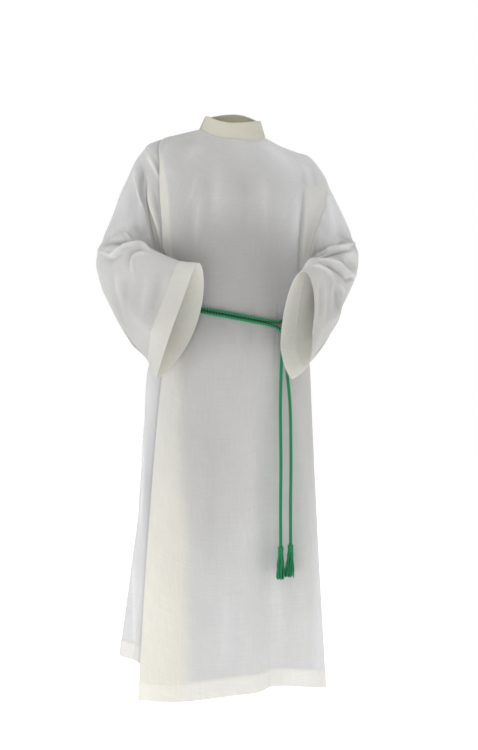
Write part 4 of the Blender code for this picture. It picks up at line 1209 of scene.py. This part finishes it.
cincture = {
    "turn": 36.5,
    "beltTurns": (11, 340, 11.7),  # where the belt leaves the knot and comes back, and its step, in degrees
    "inKnot": (3.5, 16),  # where the belt starts, in millimetres along the waist
    "strandOffset": 0.0043,
    "clearance": 0.0026,
    # millimetres along the waist, out from it and up
    "bight": (
        (-30, 0, 6.8), (-13, 1.2, 13.5), (0, 6, 15.5), (9, 9, 10.5), (12.5, 9.5, 0), (9, 8.8, -11),
        (0, 5.5, -16.2), (-13, 1.2, -14), (-30, 0, -6.8),
    ),
    # each end's way through the knot, and then down to its tassel
    "ends": {
        "a": {
            "knot": (
                (2.7, 0, 4.3), (-1.5, 0, 4.3), (-9, 3, 4.5), (-13.5, 9, 1.5), (-13.8, 13.2, -6),
                (-13.6, 13.8, -15), (-12.5, 11, -29), (-11, 8.5, -50),
            ),
            "hang": (
                (121, -113, -590), (119.2, -113.5, -680), (120.3, -113.5, -810), (119.5, -113.5, -920),
                (119.7, -113.5, -1016.5),
            ),
        },
        "b": {
            "knot": (
                (2.7, 0, -4.3), (-1.5, 0, -4.3), (-4, 4.5, -4.8), (-4.2, 10.5, -6.5), (-4, 15, -11.5),
                (-3.6, 16, -19), (-2.5, 13, -31), (-1, 9.5, -50),
            ),
            "hang": (
                (135, -105.5, -590), (142.8, -105, -680), (144.8, -105, -810), (143.8, -105, -920),
                (144, -105, -1012.7),
            ),
        },
    },
    "step": 0.0015,
    "pointsRound": 24,
}


def beltPoint(turn, up):
    turn = np.asarray(turn, float)
    level = waist + 0 * turn
    wrapped = (turn + 180) % 360 - 180
    layer = lapAt(wrapped) * ramp(-90, -60, wrapped)
    normal = bodyNormal(turn, level, ())
    tangent = unit(bodyPoint(turn + 1, level, ()) - bodyPoint(turn - 1, level, ()))
    rise = np.cross(normal, tangent)
    away = (layer + cord["radius"] + cincture["clearance"])[..., None]
    return bodyPoint(turn, level, ()) + normal * away + rise * np.asarray(up)[..., None]


def knotPoints(rows):
    # Places at the knot, given along the waist, out from it and up.
    rows = mm * np.array(rows, float)
    origin = beltPoint(cincture["turn"], np.zeros(1))[0]
    ahead = beltPoint(cincture["turn"] + 1, np.zeros(1))[0]
    along = unit(ahead - origin)
    out = bodyNormal(np.array(cincture["turn"]), np.array(float(waist)), ())
    return origin + rows @ np.stack([along, out, np.cross(out, along)])


def evenPoints(places, step):
    fine = spline(places, np.linspace(0, len(places) - 1, 40 * len(places)))
    run = runAlong(fine)
    return pointsAt(fine, run, np.linspace(0, run[-1], max(2, round(run[-1] / step) + 1)))


def framesAlong(places):
    # A pair of directions across a line that don't turn about it.
    tangents = unit(np.gradient(places, axis=0))
    side = np.cross(tangents[0], [0.0, 0.0, 1.0])
    side = side if np.linalg.norm(side) > 0.1 else np.cross(tangents[0], [1.0, 0.0, 0.0])
    first = []
    for tangent in tangents:
        side = side - tangent * np.dot(side, tangent)
        side = side / np.linalg.norm(side)
        first.append(side)
    first = np.array(first)
    return first, np.cross(tangents, first)


def ringRound(places, angle, radius):
    first, second = framesAlong(places)
    return (
        places[:, None, :]
        + first[:, None, :] * (radius * np.cos(angle))[..., None]
        + second[:, None, :] * (radius * np.sin(angle))[..., None]
    )


def twistedRope(name, places, hollow=0.0):
    # Three round strands laid together: each point's distance from the middle follows the
    # outline of the three, which turns with the lay.
    count = cincture["pointsRound"]
    run = runAlong(places)[:, None]
    twist = 2 * np.pi * run / cord["lay"]
    angle = np.linspace(0, 2 * np.pi, count, endpoint=False)[None, :] + twist
    radius = cord["radius"] * cord["fullness"]
    strand = radius / (1 + 2 / math.sqrt(3))
    out = radius - strand
    third = 2 * np.pi / cord["strands"]
    fromStrand = np.abs((angle - twist + third / 2) % third - third / 2)
    reach = out * np.cos(fromStrand) + np.sqrt(np.maximum(strand**2 - (out * np.sin(fromStrand)) ** 2, 0))
    reach = np.maximum(reach, cord["grooveFloor"] * radius)
    points = ringRound(places, angle, reach)
    # painted shade: darkest down in the grooves between the strands
    darkest, takes = cord["grooveShade"]
    depth = np.clip((reach / radius - darkest) / takes, 0, 1)
    # painted shade where two turns lie together and little light reaches: below one of them and above the
    # other
    between = np.reshape(hollow, (-1, 1)) * (points[..., 2] - places[:, None, 2]) / radius
    depth = depth * (1 - cord["hollowShade"] * ramp(0.1, 0.7, between))
    # across the yarns, and along them
    across = (angle - twist) * cord["radius"] + cord["yarnSlant"] * run
    uv = np.stack([across, np.repeat(run, count, 1)], axis=-1)
    faces = tubeFaces(0, len(places), count)
    return newPiece(name, points, faces, (twistedCord,), {"layers": depth}, pointUv=uv)


def makeWaistRope():
    offset = cincture["strandOffset"]
    leaves, comesBack, step = cincture["beltTurns"]
    turns = np.arange(cincture["turn"] + leaves, cincture["turn"] + comesBack, step)
    up = np.full_like(turns, offset)
    upper, lower = beltPoint(turns, up), beltPoint(turns, -up)
    startUpper, startLower = (
        knotPoints([(along, 0, rise / mm) for along in cincture["inKnot"]])
        for rise in (offset, -offset)
    )
    bight = knotPoints(cincture["bight"])
    places = np.concatenate([startUpper, upper, bight, lower[::-1], startLower[::-1]])
    places = evenPoints(places, cincture["step"])
    piece = twistedRope("waistRope", places, np.sign(np.linspace(-1, 1, len(places))))
    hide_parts("cincture_waist")


tassel = {
    "head": 0.017,
    "headRadius": 0.0068,
    "headSides": 40,
    "headYarns": (20, 0.00022),  # how many show round it, and how far they stand out
    "skirt": 0.062,
    "skirtVaries": (-0.0035, 0.0025),
    "spread": {"a": 1.50, "b": 1.72},
    "spreadVaries": (0.85, 1.10),
    "gathered": 0.86,
    "lean": {"a": (-0.0012, 0.0), "b": (-0.0040, 0.0)},
    "sway": 0.0011,
    "swayWaves": (5, 9),  # radians down a strand
    "inHead": 0.004,
    "strands": 46,
    "turnVaries": (-0.25, 0.25),
    "strandRadius": 0.00115,
    "strandRelief": 0.14,
    "strandTwist": 0.0060,  # one full turn of its two yarns
    "strandShade": (0.25, 1.15),
    "deepShade": 0.30,  # painted shade of the strands in the middle, against those outside
    # painted shade along each strand's twist: the middle value and the swing
    "yarnShade": (0.62, 0.38),
    "rows": 40,
    "sides": 6,
    "headRows": 26,
    "wraps": 6,
    "wrapPoints": 24,
    "wrapRadius": 0.00048,
    "binding": (0.0020, 0.0050),  # above the strands' root, and how tall it is
    "neck": (0.82, 0.0004),  # its share of the head's radius, and how far out the binding lies
    "headShade": 0.34,
    # height above the strands' root and radius as a share of the head's own
    "profile": ((-0.004, 0.90), (0.000, 0.92), (0.003, 0.80), (0.006, 0.80), (0.009, 1.0), (0.0135, 0.95),
                (0.0160, 0.70), (0.0170, 0.30)),
}


def yarnTube(points, faces, places, radius):
    angle = np.linspace(0, 2 * np.pi, tassel["sides"], endpoint=False)[None, :]
    faces += tubeFaces(len(points), len(places), tassel["sides"])
    points.extend(ringRound(places, angle, radius).reshape(-1, 3).tolist())


def makeTassel(letter, top):
    points, faces, shades = [], [], []
    rootZ, headRadius, inHead = top[2] - tassel["head"], tassel["headRadius"], tassel["inHead"]
    chance = np.random.default_rng(ord(letter))
    golden = math.pi * (3 - math.sqrt(5))
    down = np.linspace(0, 1, tassel["rows"])
    aroundStrand = np.linspace(0, 2 * np.pi, tassel["sides"], endpoint=False)
    lean, gathered = tassel["lean"][letter], tassel["gathered"]
    deep, (middle, swing) = tassel["deepShade"], tassel["yarnShade"]
    for number in range(tassel["strands"]):
        share = math.sqrt((number + 0.5) / tassel["strands"])
        angle = golden * number + chance.uniform(*tassel["turnVaries"])
        length = tassel["skirt"] + chance.uniform(*tassel["skirtVaries"])
        spread = tassel["spread"][letter] * chance.uniform(*tassel["spreadVaries"])
        reach = headRadius * share * (gathered + (spread - gathered) * down**0.8)
        waves = down * chance.uniform(*tassel["swayWaves"]) + chance.uniform(0, 6)
        sway = tassel["sway"] * np.sin(waves) * ramp(0, 0.3, down)
        places = np.stack([
            top[0] + reach * math.cos(angle) + lean[0] * down**1.3 + sway,
            top[1] + reach * math.sin(angle) + lean[1] * down - 0.6 * sway,
            rootZ + inHead - (length + inHead) * down,
        ], axis=1)
        laid = 2 * aroundStrand[None, :] + 2 * np.pi * down[:, None] * length / tassel["strandTwist"]
        radius = tassel["strandRadius"] * (1 + tassel["strandRelief"] * np.cos(laid))
        yarnTube(points, faces, places, radius)
        # each strand's shade varies at random, and the strands in the middle get painted shade
        own = chance.uniform(*tassel["strandShade"]) * (deep + (1 - deep) * share)
        shades += (own * (middle + swing * np.cos(laid))).ravel().tolist()
    # the bound head: an upright dome of yarns
    sides, heights = tassel["headSides"], tassel["profile"]
    yarns, relief = tassel["headYarns"]
    fine = spline(heights, np.linspace(0, len(heights) - 1, tassel["headRows"]))
    faces += tubeFaces(len(points), len(fine), sides)
    for height, share in fine:
        for side in range(sides):
            angle = 2 * math.pi * side / sides
            radius = headRadius * share + relief * math.cos(yarns * angle)
            x, y = top[0] + radius * math.cos(angle), top[1] + radius * math.sin(angle)
            points.append((x, y, rootZ + height))
    # the binding wound round its neck
    turnsRound = np.linspace(0, 2 * np.pi * tassel["wraps"], tassel["wrapPoints"] * tassel["wraps"])
    neckShare, outside = tassel["neck"]
    bound = headRadius * neckShare + outside
    bindingZ, bindingHeight = tassel["binding"]
    places = np.stack([
        top[0] + bound * np.cos(turnsRound),
        top[1] + bound * np.sin(turnsRound),
        rootZ + bindingZ + bindingHeight * turnsRound / turnsRound[-1],
    ], axis=1)
    yarnTube(points, faces, places, tassel["wrapRadius"])
    shade = np.concatenate([shades, np.full(len(points) - len(shades), tassel["headShade"])])
    flat = np.array(points)
    uv = np.stack([flat[:, 0] + flat[:, 1], flat[:, 2]], axis=-1)
    name, marks = "tassel" + letter.upper(), {"layers": shade}
    piece = newPiece(name, points, faces, (twistedCord,), marks, pointUv=uv)
    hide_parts("tassel_" + letter)
    return piece


def makeHangingEnd(letter):
    end = cincture["ends"][letter]
    hangs = mm * np.array(end["hang"])
    places = evenPoints(np.concatenate([knotPoints(end["knot"]), hangs]), cincture["step"])
    piece = twistedRope("hangingEnd" + letter.upper(), places)
    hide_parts("cincture_end_" + letter)
    hung = makeTassel(letter, hangs[-1])


makeWaistRope()
for letter in cincture["ends"]:
    makeHangingEnd(letter)
print("cincture made")


def placed(name, data):
    item = bpy.data.objects.new(name, data)
    bpy.context.scene.collection.objects.link(item)
    return item


eye = bpy.data.cameras.new("camera")
eye.lens = camera["lens"]
eye.sensor_fit = "VERTICAL"
eye.sensor_height = camera["sensor"]
viewer = placed("camera", eye)
viewer.location = (camera["x"], camera["y"], camera["z"])
viewer.rotation_euler = (math.radians(90), 0, 0)
bpy.context.scene.camera = viewer

studio = {
    "floorZ": -1.59,
    "floorReach": 14.0,
    "floor": ("#F2F2F2", 0.85),  # colour, and how strongly it glows
    "domeRadius": 13.0,
    "domeDrop": 0.5,
    "domeGrid": (32, 8),
    "dome": ("#000000", 1.0),
    "ambient": 0.43,
    "lights": (
        # name, place, aims at, size, watts
        ("softLeft", (-2.5, -1.5, -0.7), (-0.05, 0.0, -0.7), (2.2, 2.2), 17),
        ("softRight", (2.3, 0.7, -0.3), (0.1, 0.0, -0.6), (1.4, 2.4), 5),
        ("above", (-0.2, -0.3, 2.2), (0.0, 0.0, -0.2), (1.8, 1.8), 20),
        ("ahead", (0.4, -3.2, 0.4), (0.0, 0.0, -0.6), (1.6, 1.6), 9),
    ),
}
world = bpy.data.worlds.new("studio")
world.use_nodes = True
world.node_tree.nodes["Background"].inputs["Color"].default_value = (1, 1, 1, 1)
world.node_tree.nodes["Background"].inputs["Strength"].default_value = studio["ambient"]
bpy.context.scene.world = world
for lightName, place, target, size, watts in studio["lights"]:
    lamp = bpy.data.lights.new(lightName, "AREA")
    lamp.shape = "RECTANGLE"
    lamp.size, lamp.size_y = size
    lamp.energy = watts
    light = placed(lightName, lamp)
    light.location = place
    light.rotation_euler = (Vector(target) - light.location).to_track_quat("-Z", "Y").to_euler()


def stagePiece(name, points, faces, materialName, base, glow):
    # Matt white paper, lit from behind so that it stays even.
    material, _, _ = newMaterial(materialName, {
        "Base Color": linear(base), "Roughness": 0.9, "Specular IOR Level": 0.0,
        "Emission Color": (1, 1, 1, 1), "Emission Strength": glow,
    })
    mesh = bpy.data.meshes.new(name)
    mesh.from_pydata(points, [], faces)
    mesh.materials.append(material)
    item = placed(name, mesh)
    return item


reach, floorZ, dome = studio["floorReach"], studio["floorZ"], studio["domeRadius"]
corners = [(x * reach, y * reach, floorZ) for x, y in ((-1, -1), (1, -1), (1, 1), (-1, 1))]
stagePiece("floor", corners, [(0, 1, 2, 3)], "whitePaperFloor", *studio["floor"])
columns, rows = studio["domeGrid"]
domePoints = []
for row in range(rows + 1):
    tilt = math.pi / 2 * row / rows
    for column in range(columns):
        turn = 2 * math.pi * column / columns
        flat = dome * math.cos(tilt)
        z = floorZ - studio["domeDrop"] + dome * math.sin(tilt)
        domePoints.append((flat * math.cos(turn), flat * math.sin(turn), z))
domeFaces = tubeFaces(0, rows + 1, columns)[:-2]
backdrop = stagePiece("backdrop", domePoints, domeFaces, "whitePaperBackdrop", *studio["dome"])
for ray in ("diffuse", "glossy", "shadow", "transmission"):
    setattr(backdrop, "visible_" + ray, False)
bpy.context.scene.view_settings.view_transform = "Standard"
print("studio made")
